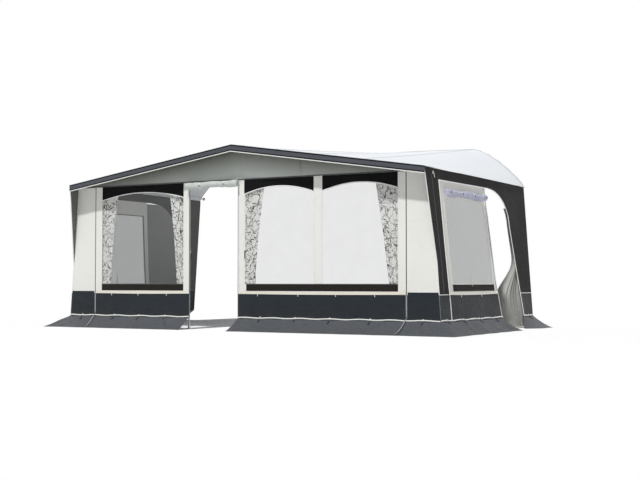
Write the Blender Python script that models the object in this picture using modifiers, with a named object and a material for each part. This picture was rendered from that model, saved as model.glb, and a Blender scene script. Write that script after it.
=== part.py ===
"""Caravan awning: a gable-fronted fabric room on a telescopic tube frame.

Metres, +Z up. +X runs along the caravan to the right of someone who faces the front wall, +Y
towards the caravan. The origin lies on the ground at the middle of the awning's footprint.
"""

import math

import bmesh
import bpy
from mathutils import Matrix, Vector

# Overall room
DEPTH = 3.00                   # front wall to the edge that slides into the caravan's rail
CORNER_HALF_GROUND = 2.854     # half width between the wall corners, at the ground
CORNER_HALF_SEAM = 2.72        # the same at the seam, so the side walls lean in
REAR_SPLAY = 0.06              # the side walls are this much further out at the rail
SEAM_HEIGHT = 1.95             # head of the wall panels
HEM_HEIGHT = 0.47              # hem of the pale wall cloth, head of the mud band
FOOT_HEIGHT = 0.16             # foot of the mud band
SKIRT_REACH = 0.30             # draught skirt, measured out from the wall

# Roof and gable
OVERHANG = 0.18
FASCIA_END_RISE, GABLE_RISE = 0.029, 0.409
FASCIA_END = SEAM_HEIGHT + FASCIA_END_RISE
FASCIA_PEAK = FASCIA_END + GABLE_RISE
FASCIA_DROP = 0.085
FASCIA_THICK = 0.004
EAVE_LAP = 0.012               # the roof's edge stands this far outside the side walls
EAVE_RISE, RAIL_RISE = 0.005, 0.61
EAVE_REAR = SEAM_HEIGHT + EAVE_RISE
RAIL_TOP = SEAM_HEIGHT + RAIL_RISE
RAIL_CROWN = 0.03
RAIL_FLAT_HALF = 2.02          # half of the nearly flat part of the rail
RAIL_TURN_IN = 0.25
RAIL_TURN_OUT = 0.10
RAIL_LEAN_SHARE = 0.35         # the rail's lean at its lower end, across for each unit down
ROOF_FLAT_SHARE = 0.70         # share of the gable that runs back to the rail's flat part
ROOF_FLAT_STEPS, ROOF_TURN_STEPS, ROOF_ROWS = 4, 7, 6

# Cloth, film and running gaps
CLOTH = 0.0016
ROOF_CLOTH = 0.002
FILM = 0.0008
GAP = 0.0003
SEAM_ROOM = 0.0015             # between cloths that meet at an angle
CLOTH_ROOM = 0.0006            # between the roof cloth and the joints that carry it
BEAD_RADIUS = 0.0035

# Front wall
ZIP_X = 2.40
DOOR_LEFT, DOOR_RIGHT = -0.785, 0.0
WINDOW_SPANS = {"left": (-2.28, -0.88), "middle": (0.09, 1.127), "right": (1.25, 2.29)}
ARCH_DROP = 0.195              # the window arches spring this far below the seam
ARCH_FOOT = SEAM_HEIGHT - ARCH_DROP
ARCH_RISE = 0.09
ARCH_STEPS = 12
SILL_FOOT, SILL_HEAD = 0.51, 0.60
SILL_END = 0.035               # the right sill starts this far inside the window's edge
SILL_CLOTH = 0.0012
FILM_LAP = 0.015

# Side walls; places along a side wall are measured back from the front wall
STRIPE_HEAD, STRIPE_FOOT = 0.19, 0.30
TOP_BAND = 0.115
WING_FOOT = 0.86
PANEL_REAR_HEAD, PANEL_REAR_MID, PANEL_REAR_FOOT = 1.58, 1.75, 1.88
PANEL_REAR_KNEE = 0.65
REAR_BAND_FOOT, REAR_BAND_MID, REAR_BAND_HEAD = 0.34, 0.65, 1.30
ARCH_BACK_FOOT, ARCH_BACK_SPRING = DEPTH - REAR_BAND_FOOT, DEPTH - REAR_BAND_MID
ARCH_BACK_START = DEPTH - REAR_BAND_HEAD
ARCH_BACK_RISE = 0.445
ARCH_BACK_SPRING_HEIGHT = SEAM_HEIGHT - TOP_BAND - ARCH_BACK_RISE
ARCH_BACK_STEPS = 8
SIDE_WINDOW_FOOT = 0.60
SIDE_WINDOW_DROP = 0.215       # the window's head lies this far below the black top band
SIDE_WINDOW_HEAD = SEAM_HEIGHT - TOP_BAND - SIDE_WINDOW_DROP
SIDE_WINDOW_FRONT_HEAD, SIDE_WINDOW_FRONT_FOOT = 0.31, 0.40
SIDE_WINDOW_REAR_HEAD, SIDE_WINDOW_REAR_FOOT = 1.46, 1.60

# Rolled cloths
DOOR_ROLL_RADIUS = 0.046
DOOR_ROLL_PINCH = 0.007
DOOR_ROLL_DROP_LEFT, DOOR_ROLL_DROP_RIGHT = 0.057, 0.048
ROLL_STRAP_SHARES = (0.25, 0.75)
DOOR_ROLL_END = 0.015          # the roll passes the door's edges by this much
SIDE_ROLL_RADIUS = 0.034
SIDE_ROLL_PINCH = 0.004
SIDE_ROLL_RISE = 0.08          # the roll's axis over the window's head
SIDE_ROLL_START, SIDE_ROLL_END = 0.32, 1.48
ROLL_SIDES = 12
ROLL_STEPS = 16

# Curtains
CURTAIN_CLOTH = 0.0012
CURTAIN_FOLD = 0.011
CURTAIN_OFF_WALL = 0.020
CURTAIN_HEAD_DROP = 0.066      # below the seam
CURTAIN_FOOT = 0.552
CURTAIN_WIDTH = 0.306
CURTAIN_ROWS, STEPS_PER_FOLD = 5, 6
CURTAIN_EDGE = 0.006
TRACK_HEIGHT = 0.014
TRACK_LIP = 0.0035
TRACK_DEPTH = 0.030
CURTAIN_SHARES = {
    # name: (window, edge of it that the curtain hangs at, folds, shares of its width head, mid, foot)
    "curtain_left_outer": ("left", -1, 5, 0.902, 0.588, 0.467),
    "curtain_left_inner": ("left", 1, 4, 0.797, 0.523, 0.340),
    "curtain_right_inner": ("middle", -1, 5, 0.987, 0.654, 0.523),
    "curtain_right_outer": ("right", 1, 5, 1.0, 0.654, 0.359),
}

# Tied-back panel of the right side door
FLAP_CLOTH = 0.0012
FLAP_OFF_WALL = 0.045
FLAP_FOLD = 0.016
FLAP_FOLDS = 5
FLAP_HEAD, FLAP_FOOT = SIDE_WINDOW_HEAD, 0.012
FLAP_ROWS = 7
FLAP_WIDTH_HEAD, FLAP_WIDTH_TIE, FLAP_WIDTH_FOOT = 0.20, 0.27, 0.24
FLAP_BEHIND_BAND = 0.03
FLAP_ROOT_SHARE = 0.2          # share of the panel that comes away from the wall at its rear edge

# Draught skirt
SKIRT_CLOTH = 0.0015
SKIRT_SCALLOP = 0.02
SKIRT_PEG_PITCH = 0.42
SKIRT_STEPS_PER_PITCH = 4

# Frame of tubes
TUBE_RADIUS, BORE_RADIUS, INNER_RADIUS = 0.014, 0.0130, 0.0120
TUBE_SIDES = 12
ARM_RADIUS, ARM_LENGTH = 0.017, 0.07
HUB_SHARE = 1.14               # radius of the ball where arms meet, over the arms' radius
POST_BACK = 0.062              # tube axes behind the front wall
CORNER_POST_X = 2.64
DOOR_POST_X = -0.828
CENTRE_POST_X = 0.03
SIDE_POLE_SHARE = 0.955        # where along the gable the side roof poles' line runs back
SIDE_POLE_INSET = 0.037        # side pole's end in from the rail, and below it
POST_JOIN = 1.00               # lower end of a post's upper tube
POST_INSERT = 0.25
PLATE_RADIUS, PLATE_THICK = 0.040, 0.004
BOSS_RADIUS, BOSS_HEIGHT = 0.018, 0.030
POLE_JOIN_SHARE = 0.52
POLE_INSERT = 0.35
PAD_RADIUS, PAD_THICK = 0.025, 0.010
TUBE_CAP = 0.004
WELD = 0.0001                  # points of a turned shape closer than this are one

# Clamp on each post
COLLAR_RADIUS, COLLAR_HEIGHT = 0.020, 0.045
EAR_REACH, EAR_THICK, EAR_HEIGHT = 0.024, 0.008, 0.022
PIN_RADIUS, PIN_BEYOND = 0.003, 0.007
EYE_ROOM = 0.0005
LEVER_THICK, LEVER_WIDTH, LEVER_LENGTH, LEVER_TIP = 0.005, 0.016, 0.095, 0.011
ROUND_STEPS = 10

# Zip slider
SLIDER_WIDTH, SLIDER_HEIGHT, SLIDER_THICK = 0.012, 0.018, 0.006
PULL_WIDTH, PULL_LENGTH, PULL_THICK = 0.008, 0.034, 0.002
SLIDER_HEIGHT_AT_REST = 0.20

BACK_EXTRA = GAP + 2 * BEAD_RADIUS
FRONT_Y = -(DEPTH + BACK_EXTRA - SKIRT_REACH) / 2
BACK_Y = FRONT_Y + DEPTH
LEAN = (CORNER_HALF_GROUND - CORNER_HALF_SEAM) / SEAM_HEIGHT
SPLAY = REAR_SPLAY / DEPTH

for old in list(bpy.data.objects):
    bpy.data.objects.remove(old, do_unlink=True)

parts = bpy.data.collections.new("caravan_awning")
bpy.context.scene.collection.children.link(parts)


def finish_of(name, colour, roughness, metallic=0.0, alpha=1.0):
    made = bpy.data.materials.new(name)
    made.use_nodes = True
    shader = made.node_tree.nodes["Principled BSDF"]
    shader.inputs["Base Color"].default_value = (*colour, 1.0)
    shader.inputs["Roughness"].default_value = roughness
    shader.inputs["Metallic"].default_value = metallic
    shader.inputs["Alpha"].default_value = alpha
    return made


ROOF = finish_of("roof_cloth", (0.80, 0.82, 0.83), 0.55)
WALL = finish_of("wall_cloth", (0.72, 0.72, 0.68), 0.7)
GREY = finish_of("gable_cloth", (0.42, 0.45, 0.43), 0.75)
SLATE = finish_of("slate_cloth", (0.11, 0.11, 0.13), 0.6)
BLACK = finish_of("stripe_cloth", (0.025, 0.023, 0.022), 0.7)
BAND = finish_of("mud_band_cloth", (0.028, 0.033, 0.038), 0.45)
SKIRT = finish_of("skirt_cloth", (0.11, 0.115, 0.13), 0.5)
CLEAR = finish_of("window_film", (0.75, 0.79, 0.79), 0.08, alpha=0.35)
PRINT = finish_of("curtain_cloth", (0.80, 0.80, 0.78), 0.85)
LILAC = finish_of("cover_cloth", (0.42, 0.43, 0.60), 0.6)
STEEL = finish_of("zinc_steel", (0.55, 0.56, 0.57), 0.35, 0.9)
PLASTIC = finish_of("black_plastic", (0.03, 0.03, 0.03), 0.5)


def side_half(back, height):
    """Half width of the room between the side walls, at a place back from the front wall."""
    return CORNER_HALF_GROUND - LEAN * height + SPLAY * back


def front_plane():
    """Local x is world X, local y is height, local z points out of the room."""
    return Matrix(((1, 0, 0, 0), (0, 0, -1, FRONT_Y), (0, 1, 0, 0), (0, 0, 0, 1)))


def side_plane(side):
    """Local x runs back from the front wall, local y up the wall. Local z is out on the right only."""
    up = Vector((-side * LEAN, 0, 1)).normalized()
    back = Vector((side * SPLAY, 1, 0))
    back = (back - up * back.dot(up)).normalized()
    out = back.cross(up)
    made = Matrix((back, up, out)).transposed().to_4x4()
    made.translation = Vector((side * CORNER_HALF_GROUND, FRONT_Y, 0))
    return made


def slope_length(height):
    """Distance up the leaning side wall at this height."""
    return height * math.sqrt(1 + LEAN * LEAN)


def keep(name, data, finish, matrix=None):
    """A new object in the parts collection."""
    made = bpy.data.objects.new(name, data)
    parts.objects.link(made)
    if matrix is not None:
        made.matrix_world = matrix
    data.materials.append(finish)
    return made


def as_mesh(source):
    """The object's evaluated shape as a mesh object in the same place, with its caps welded."""
    bpy.context.view_layer.update()
    graph = bpy.context.evaluated_depsgraph_get()
    data = bpy.data.meshes.new_from_object(source.evaluated_get(graph))
    work = bmesh.new()
    work.from_mesh(data)
    bmesh.ops.remove_doubles(work, verts=work.verts, dist=GAP / 10)
    bmesh.ops.recalc_face_normals(work, faces=work.faces)
    work.to_mesh(data)
    work.free()
    made = bpy.data.objects.new(source.name + "_mesh", data)
    made.matrix_world = source.matrix_world
    for group in source.users_collection:
        group.objects.link(made)
    name = source.name
    bpy.data.objects.remove(source, do_unlink=True)
    made.name = name
    return made


def outline_sheet(name, outlines, thick, plane, off, finish):
    """A flat cloth or plate: its outer outline first, then its holes, lying off the plane by off."""
    curve = bpy.data.curves.new(name, "CURVE")
    curve.dimensions = "2D"
    curve.fill_mode = "BOTH"
    curve.extrude = thick / 2
    for points in outlines:
        line = curve.splines.new("POLY")
        line.points.add(len(points) - 1)
        for place, (across, up) in zip(line.points, points):
            place.co = (across, up, 0, 1)
        line.use_cyclic_u = True
    return keep(name, curve, finish, plane @ Matrix.Translation((0, 0, off)))


def turned(name, profile, start, along, finish, sides=TUBE_SIDES):
    """A profile of (radius, distance) turned about a line from start. It runs down its outer side."""
    data = bpy.data.meshes.new(name)
    rows = [(radius, 0, distance) for radius, distance in profile]
    data.from_pydata(rows, [(i, i + 1) for i in range(len(rows) - 1)], [])
    turn = Vector(along).normalized().to_track_quat("Z", "Y").to_matrix().to_4x4()
    made = keep(name, data, finish, Matrix.Translation(start) @ turn)
    screw = made.modifiers.new("turn", "SCREW")
    screw.steps = screw.render_steps = sides
    screw.use_merge_vertices = True
    screw.merge_threshold = WELD
    return made


def grid_sheet(name, rows, finish):
    """An open sheet through rows of points, each row as long as the next."""
    data = bpy.data.meshes.new(name)
    across = len(rows[0])
    faces = [
        (r * across + c, r * across + c + 1, (r + 1) * across + c + 1, (r + 1) * across + c)
        for r in range(len(rows) - 1)
        for c in range(across - 1)
    ]
    data.from_pydata([place for row in rows for place in row], [], faces)
    return keep(name, data, finish)


def solid_sheet(name, rows, thick, finish, share):
    """A grid sheet with a wall: share -1 puts the wall behind its normals, 0 in the middle."""
    made = grid_sheet(name, rows, finish)
    wall = made.modifiers.new("wall", "SOLIDIFY")
    wall.thickness = thick
    wall.offset = share
    wall.use_even_offset = True
    return made


def united(main, others):
    """The others joined to main by a union, one by one, and then removed."""
    for other in others:
        joint = main.modifiers.new("join", "BOOLEAN")
        joint.operation = "UNION"
        joint.object = other
        main = as_mesh(main)
        bpy.data.objects.remove(other, do_unlink=True)
    return main


def mixed(first, last, share):
    return first + (last - first) * share


def arch(start, end, foot, rise, steps):
    """A shallow arch from end back to start, as (across, up)."""
    middle, half = (start + end) / 2, (end - start) / 2
    places = [end - (end - start) * i / steps for i in range(steps + 1)]
    return [(x, foot + rise * (1 - ((x - middle) / half) ** 2)) for x in places]


# The roof runs on straight lines from the gable's edge back to the caravan's rail.
ROOF_FRONT = FRONT_Y - OVERHANG
GABLE_HALF = side_half(-OVERHANG, FASCIA_END) + EAVE_LAP
RAIL_HALF = side_half(DEPTH, EAVE_REAR) + EAVE_LAP


def rail_point(share):
    """The rail's line on one side of the ridge: nearly flat, then turned down to the eave."""
    if share <= ROOF_FLAT_SHARE:
        along = share / ROOF_FLAT_SHARE
        return Vector((RAIL_FLAT_HALF * along, RAIL_TOP - RAIL_CROWN * along * along))
    t = (share - ROOF_FLAT_SHARE) / (1 - ROOF_FLAT_SHARE)
    ends = (Vector((RAIL_FLAT_HALF, RAIL_TOP - RAIL_CROWN)), Vector((RAIL_HALF, EAVE_REAR)))
    lean = Vector((-RAIL_LEAN_SHARE, 1)) * RAIL_TURN_OUT
    pulls = (ends[0] + Vector((RAIL_TURN_IN, 0)), ends[1] + lean)
    weights = ((1 - t) ** 3, 3 * (1 - t) ** 2 * t, 3 * (1 - t) * t * t, t**3)
    return sum((w * p for w, p in zip(weights, (ends[0], *pulls, ends[1]))), Vector((0, 0)))


def roof_point(share, y):
    """A point of the roof's upper side; share runs from -1 at the left eave to 1 at the right."""
    side, size = (-1 if share < 0 else 1), abs(share)
    front = Vector((GABLE_HALF * size, mixed(FASCIA_PEAK, FASCIA_END, size)))
    place = front.lerp(rail_point(size), (y - ROOF_FRONT) / (BACK_Y - ROOF_FRONT))
    return Vector((side * place.x, y, place.y))


def roof_shares():
    one = [ROOF_FLAT_SHARE * i / ROOF_FLAT_STEPS for i in range(ROOF_FLAT_STEPS)]
    turn = 1 - ROOF_FLAT_SHARE
    one += [ROOF_FLAT_SHARE + turn * i / ROOF_TURN_STEPS for i in range(ROOF_TURN_STEPS + 1)]
    return [-share for share in reversed(one[1:])] + one


def make_roof():
    lines = [ROOF_FRONT] + [mixed(FRONT_Y, BACK_Y, r / ROOF_ROWS) for r in range(ROOF_ROWS + 1)]
    rows = [[roof_point(share, y) for share in roof_shares()] for y in lines]
    solid_sheet("roof", rows, ROOF_CLOTH, ROOF, -1)


def make_gable():
    """The fascia hangs at the roof's front edge, the gable cloth closes the room above the walls."""
    top = [(x * GABLE_HALF, mixed(FASCIA_PEAK, FASCIA_END, abs(x))) for x in (-1, 0, 1)]
    low = [(x, z - FASCIA_DROP) for x, z in reversed(top)]
    off = OVERHANG + GAP + FASCIA_THICK / 2
    outline_sheet("fascia", [top + low], FASCIA_THICK, front_plane(), off, SLATE)

    under = ROOF_CLOTH + SEAM_ROOM
    half = side_half(0, SEAM_HEIGHT) - SEAM_ROOM
    head = []
    for share in roof_shares():
        place = roof_point(share, FRONT_Y)
        if abs(place.x) < half:
            head.append((place.x, place.z - under))
    foot = SEAM_HEIGHT + GAP
    outline = [(-half, foot), *head, (half, foot)]
    outline_sheet("gable_panel", [outline], CLOTH, front_plane(), 0, GREY)


def window_hole(name):
    start, end = WINDOW_SPANS[name]
    return [(start, SILL_HEAD), (end, SILL_HEAD), *arch(start, end, ARCH_FOOT, ARCH_RISE, ARCH_STEPS)]


def make_front_walls():
    plane = front_plane()
    zip_gap = GAP / 2
    runs = {
        "wall_left": (-ZIP_X + zip_gap, DOOR_LEFT, ("left",)),
        "wall_right": (DOOR_RIGHT, ZIP_X - zip_gap, ("middle", "right")),
    }
    for name, (start, end, windows) in runs.items():
        box = [(start, HEM_HEIGHT), (end, HEM_HEIGHT), (end, SEAM_HEIGHT), (start, SEAM_HEIGHT)]
        outline_sheet(name, [box, *map(window_hole, windows)], CLOTH, plane, 0, WALL)

    overlay = CLOTH / 2 + GAP + SILL_CLOTH / 2
    for name, (start, end) in WINDOW_SPANS.items():
        outline = [(start, SEAM_HEIGHT), *reversed(arch(start, end, ARCH_FOOT, ARCH_RISE, ARCH_STEPS))]
        outline.append((end, SEAM_HEIGHT))
        outline_sheet(f"valance_{name}", [outline], SILL_CLOTH, plane, overlay, BLACK)

    ends = {
        "left": (WINDOW_SPANS["left"][0], WINDOW_SPANS["left"][1]),
        "right": (WINDOW_SPANS["middle"][0] + SILL_END, WINDOW_SPANS["right"][1]),
    }
    for name, (start, end) in ends.items():
        box = [(start, SILL_FOOT), (end, SILL_FOOT), (end, SILL_HEAD), (start, SILL_HEAD)]
        outline_sheet(f"sill_{name}", [box], SILL_CLOTH, plane, overlay, BLACK)

    films = {
        "left": WINDOW_SPANS["left"],
        "right": (WINDOW_SPANS["middle"][0], WINDOW_SPANS["right"][1]),
    }
    behind = -(CLOTH / 2 + GAP + FILM / 2)
    head = ARCH_FOOT + ARCH_RISE + FILM_LAP
    for name, (start, end) in films.items():
        low, left, right = SILL_HEAD - FILM_LAP, start - FILM_LAP, end + FILM_LAP
        box = [(left, low), (right, low), (right, head), (left, head)]
        outline_sheet(f"window_film_{name}", [box], FILM, plane, behind, CLEAR)


def corner_edge(height):
    """X of a front cloth's edge at the corner, short of the side wall's cloth."""
    return side_half(0, height) - SEAM_ROOM


def make_corner_panels_and_mud_bands():
    plane = front_plane()
    for name, side in (("left", -1), ("right", 1)):
        inner = side * (ZIP_X + GAP / 2)
        panel = [
            (inner, HEM_HEIGHT),
            (side * corner_edge(HEM_HEIGHT), HEM_HEIGHT),
            (side * corner_edge(SEAM_HEIGHT), SEAM_HEIGHT),
            (inner, SEAM_HEIGHT),
        ]
        outline_sheet(f"corner_panel_{name}", [panel], CLOTH, plane, 0, WALL)
        door = DOOR_LEFT if side < 0 else DOOR_RIGHT
        head = HEM_HEIGHT - GAP
        band = [
            (door, FOOT_HEIGHT),
            (side * corner_edge(FOOT_HEIGHT), FOOT_HEIGHT),
            (side * corner_edge(head), head),
            (door, head),
        ]
        outline_sheet(f"mud_band_{name}", [band], CLOTH, plane, 0, BAND)


def door_arch():
    """The side door's rear edge, from the head of the arch round and down to the foot."""
    head = SEAM_HEIGHT - TOP_BAND
    points = []
    for i in range(ARCH_BACK_STEPS + 1):
        turn = math.pi / 2 * (1 - i / ARCH_BACK_STEPS)
        back = ARCH_BACK_START + (ARCH_BACK_SPRING - ARCH_BACK_START) * math.cos(turn)
        rise = (head - ARCH_BACK_SPRING_HEIGHT) * math.sin(turn)
        points.append((back, ARCH_BACK_SPRING_HEIGHT + rise))
    points.append((ARCH_BACK_FOOT, FOOT_HEIGHT))
    return points


def arch_back(height):
    """Place of the door's rear edge at this height below the arch's spring."""
    share = (ARCH_BACK_SPRING_HEIGHT - height) / (ARCH_BACK_SPRING_HEIGHT - FOOT_HEIGHT)
    if share >= 0:
        return mixed(ARCH_BACK_SPRING, ARCH_BACK_FOOT, share)
    rise = (height - ARCH_BACK_SPRING_HEIGHT) / (SEAM_HEIGHT - TOP_BAND - ARCH_BACK_SPRING_HEIGHT)
    return mixed(ARCH_BACK_START, ARCH_BACK_SPRING, math.sqrt(max(0, 1 - rise * rise)))


def up_wall(points):
    return [(back, slope_length(height)) for back, height in points]


def eave_under(y):
    """Height just under the roof's eave at this y."""
    return roof_point(1, y).z - ROOF_CLOTH - SEAM_ROOM - GAP


def make_side_walls():
    head = SEAM_HEIGHT - TOP_BAND
    front_head, rear_head = eave_under(ROOF_FRONT), eave_under(BACK_Y)
    surround = [
        (0, FOOT_HEIGHT),
        (STRIPE_FOOT, FOOT_HEIGHT),
        (STRIPE_HEAD, head),
        *door_arch(),
        (DEPTH, FOOT_HEIGHT),
        (DEPTH, rear_head),
        (-OVERHANG, front_head),
        (0, WING_FOOT),
    ]
    panel_rear = [
        (PANEL_REAR_FOOT, FOOT_HEIGHT),
        (PANEL_REAR_MID, PANEL_REAR_KNEE),
        (PANEL_REAR_HEAD, head - GAP),
    ]
    panel = [(STRIPE_FOOT + GAP, FOOT_HEIGHT), *panel_rear, (STRIPE_HEAD + GAP, head - GAP)]
    hole = [
        (SIDE_WINDOW_FRONT_FOOT, SIDE_WINDOW_FOOT),
        (SIDE_WINDOW_REAR_FOOT, SIDE_WINDOW_FOOT),
        (SIDE_WINDOW_REAR_HEAD, SIDE_WINDOW_HEAD),
        (SIDE_WINDOW_FRONT_HEAD, SIDE_WINDOW_HEAD),
    ]
    film = [
        (SIDE_WINDOW_FRONT_HEAD - FILM_LAP, SIDE_WINDOW_FOOT - FILM_LAP),
        (SIDE_WINDOW_REAR_FOOT + FILM_LAP, SIDE_WINDOW_FOOT - FILM_LAP),
        (SIDE_WINDOW_REAR_HEAD + FILM_LAP, SIDE_WINDOW_HEAD + FILM_LAP),
        (SIDE_WINDOW_FRONT_HEAD - FILM_LAP, SIDE_WINDOW_HEAD + FILM_LAP),
    ]
    for name, side in (("left", -1), ("right", 1)):
        plane = side_plane(side)
        outline_sheet(f"side_surround_{name}", [up_wall(surround)], CLOTH, plane, 0, BLACK)
        outline_sheet(f"side_panel_{name}", [up_wall(panel), up_wall(hole)], CLOTH, plane, 0, WALL)
        behind = -side * (CLOTH / 2 + GAP + FILM / 2)
        outline_sheet(f"side_film_{name}", [up_wall(film)], FILM, plane, behind, CLEAR)
    closed = [(back + GAP, height) for back, height in panel_rear]
    closed += [(back - GAP, height - GAP) for back, height in door_arch()]
    closed[-1] = (ARCH_BACK_FOOT - GAP, FOOT_HEIGHT)
    outline_sheet("side_door_left", [up_wall(closed)], CLOTH, side_plane(-1), 0, WALL)


def roll_profile(length, radius, pinch):
    """A rolled cloth's radius along its length, drawn in where straps hold it."""
    profile = [(0, length)]
    for i in range(ROLL_STEPS + 1):
        share = 1 - i / ROLL_STEPS
        near = min(abs(share - place) for place in ROLL_STRAP_SHARES) * ROLL_STEPS / 2
        profile.append((radius - pinch * max(0, 1 - near), length * share))
    profile.append((0, 0))
    return profile


def make_rolls():
    out = CLOTH / 2 + GAP
    y = FRONT_Y - out - DOOR_ROLL_RADIUS
    start = Vector((DOOR_LEFT - DOOR_ROLL_END, y, SEAM_HEIGHT - DOOR_ROLL_DROP_LEFT))
    end = Vector((DOOR_RIGHT + DOOR_ROLL_END, y, SEAM_HEIGHT - DOOR_ROLL_DROP_RIGHT))
    profile = roll_profile((end - start).length, DOOR_ROLL_RADIUS, DOOR_ROLL_PINCH)
    turned("door_roll", profile, start, end - start, WALL, ROLL_SIDES)
    for name, side in (("left", -1), ("right", 1)):
        plane = side_plane(side)
        off = side * (out + SIDE_ROLL_RADIUS)
        up = slope_length(SIDE_WINDOW_HEAD + SIDE_ROLL_RISE)
        start = plane @ Vector((SIDE_ROLL_START, up, off))
        end = plane @ Vector((SIDE_ROLL_END, up, off))
        profile = roll_profile((end - start).length, SIDE_ROLL_RADIUS, SIDE_ROLL_PINCH)
        turned(f"side_roll_{name}", profile, start, end - start, LILAC, ROLL_SIDES)


def three_way(first, middle, last, share):
    """Through three widths, the middle one half way."""
    if share < 0.5:
        return mixed(first, middle, 2 * share)
    return mixed(middle, last, 2 * share - 1)


def make_curtains():
    wall_face = FRONT_Y + CLOTH / 2 + GAP
    curtain_head = SEAM_HEIGHT - CURTAIN_HEAD_DROP
    for name, (window, side, folds, *shares) in CURTAIN_SHARES.items():
        edge = WINDOW_SPANS[window][0 if side < 0 else 1]
        rows = []
        columns = folds * STEPS_PER_FOLD
        for r in range(CURTAIN_ROWS + 1):
            down = r / CURTAIN_ROWS
            width = CURTAIN_WIDTH * three_way(*shares, down)
            row = []
            for c in range(columns + 1):
                share = c / columns
                x = edge - side * (CURTAIN_EDGE + width * share)
                y = FRONT_Y + CURTAIN_OFF_WALL - CURTAIN_FOLD * math.cos(2 * math.pi * folds * share)
                row.append((x, y, mixed(curtain_head, CURTAIN_FOOT, down)))
            rows.append(row if side < 0 else row[::-1])
        solid_sheet(name, rows, CURTAIN_CLOTH, PRINT, 0)
    tracks = {
        "left": WINDOW_SPANS["left"],
        "right": (WINDOW_SPANS["middle"][0], WINDOW_SPANS["right"][1]),
    }
    low = curtain_head + GAP
    back = wall_face + TRACK_DEPTH
    lip = TRACK_LIP
    for name, (start, end) in tracks.items():
        section = [
            (wall_face, low), (back, low), (back, low + TRACK_HEIGHT), (back - lip, low + TRACK_HEIGHT),
            (back - lip, low + lip), (wall_face + lip, low + lip), (wall_face + lip, low + TRACK_HEIGHT),
            (wall_face, low + TRACK_HEIGHT),
        ]
        across = Matrix(((0, 0, 1, (start + end) / 2), (1, 0, 0, 0), (0, 1, 0, 0), (0, 0, 0, 1)))
        outline_sheet(f"curtain_track_{name}", [section], end - start, across, 0, PLASTIC)


def make_tied_door():
    """The right side door's panel, drawn back along the door's rear edge inside the wall."""
    plane = side_plane(1)
    seat = CLOTH / 2 + GAP + FLAP_CLOTH / 2
    columns = FLAP_FOLDS * STEPS_PER_FOLD
    rows = []
    for r in range(FLAP_ROWS + 1):
        down = r / FLAP_ROWS
        height = mixed(FLAP_HEAD, FLAP_FOOT, down)
        rear = arch_back(max(height, FOOT_HEIGHT)) + FLAP_BEHIND_BAND
        width = three_way(FLAP_WIDTH_HEAD, FLAP_WIDTH_TIE, FLAP_WIDTH_FOOT, down)
        row = []
        for c in range(columns + 1):
            share = c / columns
            fold = FLAP_FOLD * math.cos(2 * math.pi * FLAP_FOLDS * share)
            free = min(1, (1 - share) / FLAP_ROOT_SHARE)
            off = -mixed(seat, FLAP_OFF_WALL + fold, free)
            row.append(plane @ Vector((rear - width * (1 - share), slope_length(height), off)))
        rows.append(row)
    solid_sheet("side_door_tied", rows, FLAP_CLOTH, WALL, 0)


def skirt_run(start, end, scallop):
    """Shares along a straight run, each with how far the skirt's edge draws in there."""
    pitches = max(1, round(abs(end - start) / SKIRT_PEG_PITCH))
    steps = pitches * SKIRT_STEPS_PER_PITCH
    return [(i / steps, scallop * (0.5 - 0.5 * math.cos(2 * math.pi * pitches * i / steps)))
            for i in range(steps + 1)]


def skirt_body(name, inner, outer, finish):
    """A sloping cloth with its outer edge flat on the ground: a grid with a wall straight down."""
    work = bmesh.new()
    top = [[work.verts.new(place) for place in line] for line in (inner, outer)]
    faces = [work.faces.new((top[0][i], top[0][i + 1], top[1][i + 1], top[1][i]))
             for i in range(len(inner) - 1)]
    grown = bmesh.ops.extrude_face_region(work, geom=faces)
    low = [item for item in grown["geom"] if isinstance(item, bmesh.types.BMVert)]
    bmesh.ops.translate(work, verts=low, vec=(0, 0, -SKIRT_CLOTH))
    bmesh.ops.recalc_face_normals(work, faces=work.faces)
    data = bpy.data.meshes.new(name)
    work.to_mesh(data)
    work.free()
    return keep(name, data, finish)


def side_skirt(side, start, end, rise):
    """Inner and outer edges of a side skirt; the inner one lies this much over the wall's foot."""
    plane = side_plane(side)
    inner, outer = [], []
    for share, lift in skirt_run(start, end, SKIRT_SCALLOP):
        back = mixed(start, end, share)
        place = plane @ Vector((back, slope_length(FOOT_HEIGHT), 0))
        inner.append((place.x, place.y, place.z + rise))
        outer.append((place.x + side * (SKIRT_REACH - lift), place.y, SKIRT_CLOTH))
    return inner, outer


def make_skirts():
    head = FOOT_HEIGHT - GAP
    for name, side, door, rear in (
        ("left", -1, DOOR_LEFT, DEPTH), ("right", 1, DOOR_RIGHT, PANEL_REAR_FOOT),
    ):
        corner = side_half(0, FOOT_HEIGHT)
        inner, outer = [], []
        for share, lift in skirt_run(door, side * corner, SKIRT_SCALLOP):
            x = mixed(door, side * corner, share)
            out = x + side * SKIRT_REACH * share
            inner.append((x, FRONT_Y, head))
            outer.append((out, FRONT_Y - SKIRT_REACH + lift, SKIRT_CLOTH))
        along_in, along_out = side_skirt(side, 0, rear, -GAP)
        inner += along_in[1:]
        outer += along_out[1:]
        skirt_body(f"skirt_{name}", inner, outer, SKIRT)
    rear_in, rear_out = side_skirt(1, ARCH_BACK_FOOT, DEPTH, SKIRT_CLOTH)
    rear = skirt_body("rear_skirt", rear_in, rear_out, SKIRT)
    united(as_mesh(bpy.data.objects["side_surround_right"]), [rear])


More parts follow.
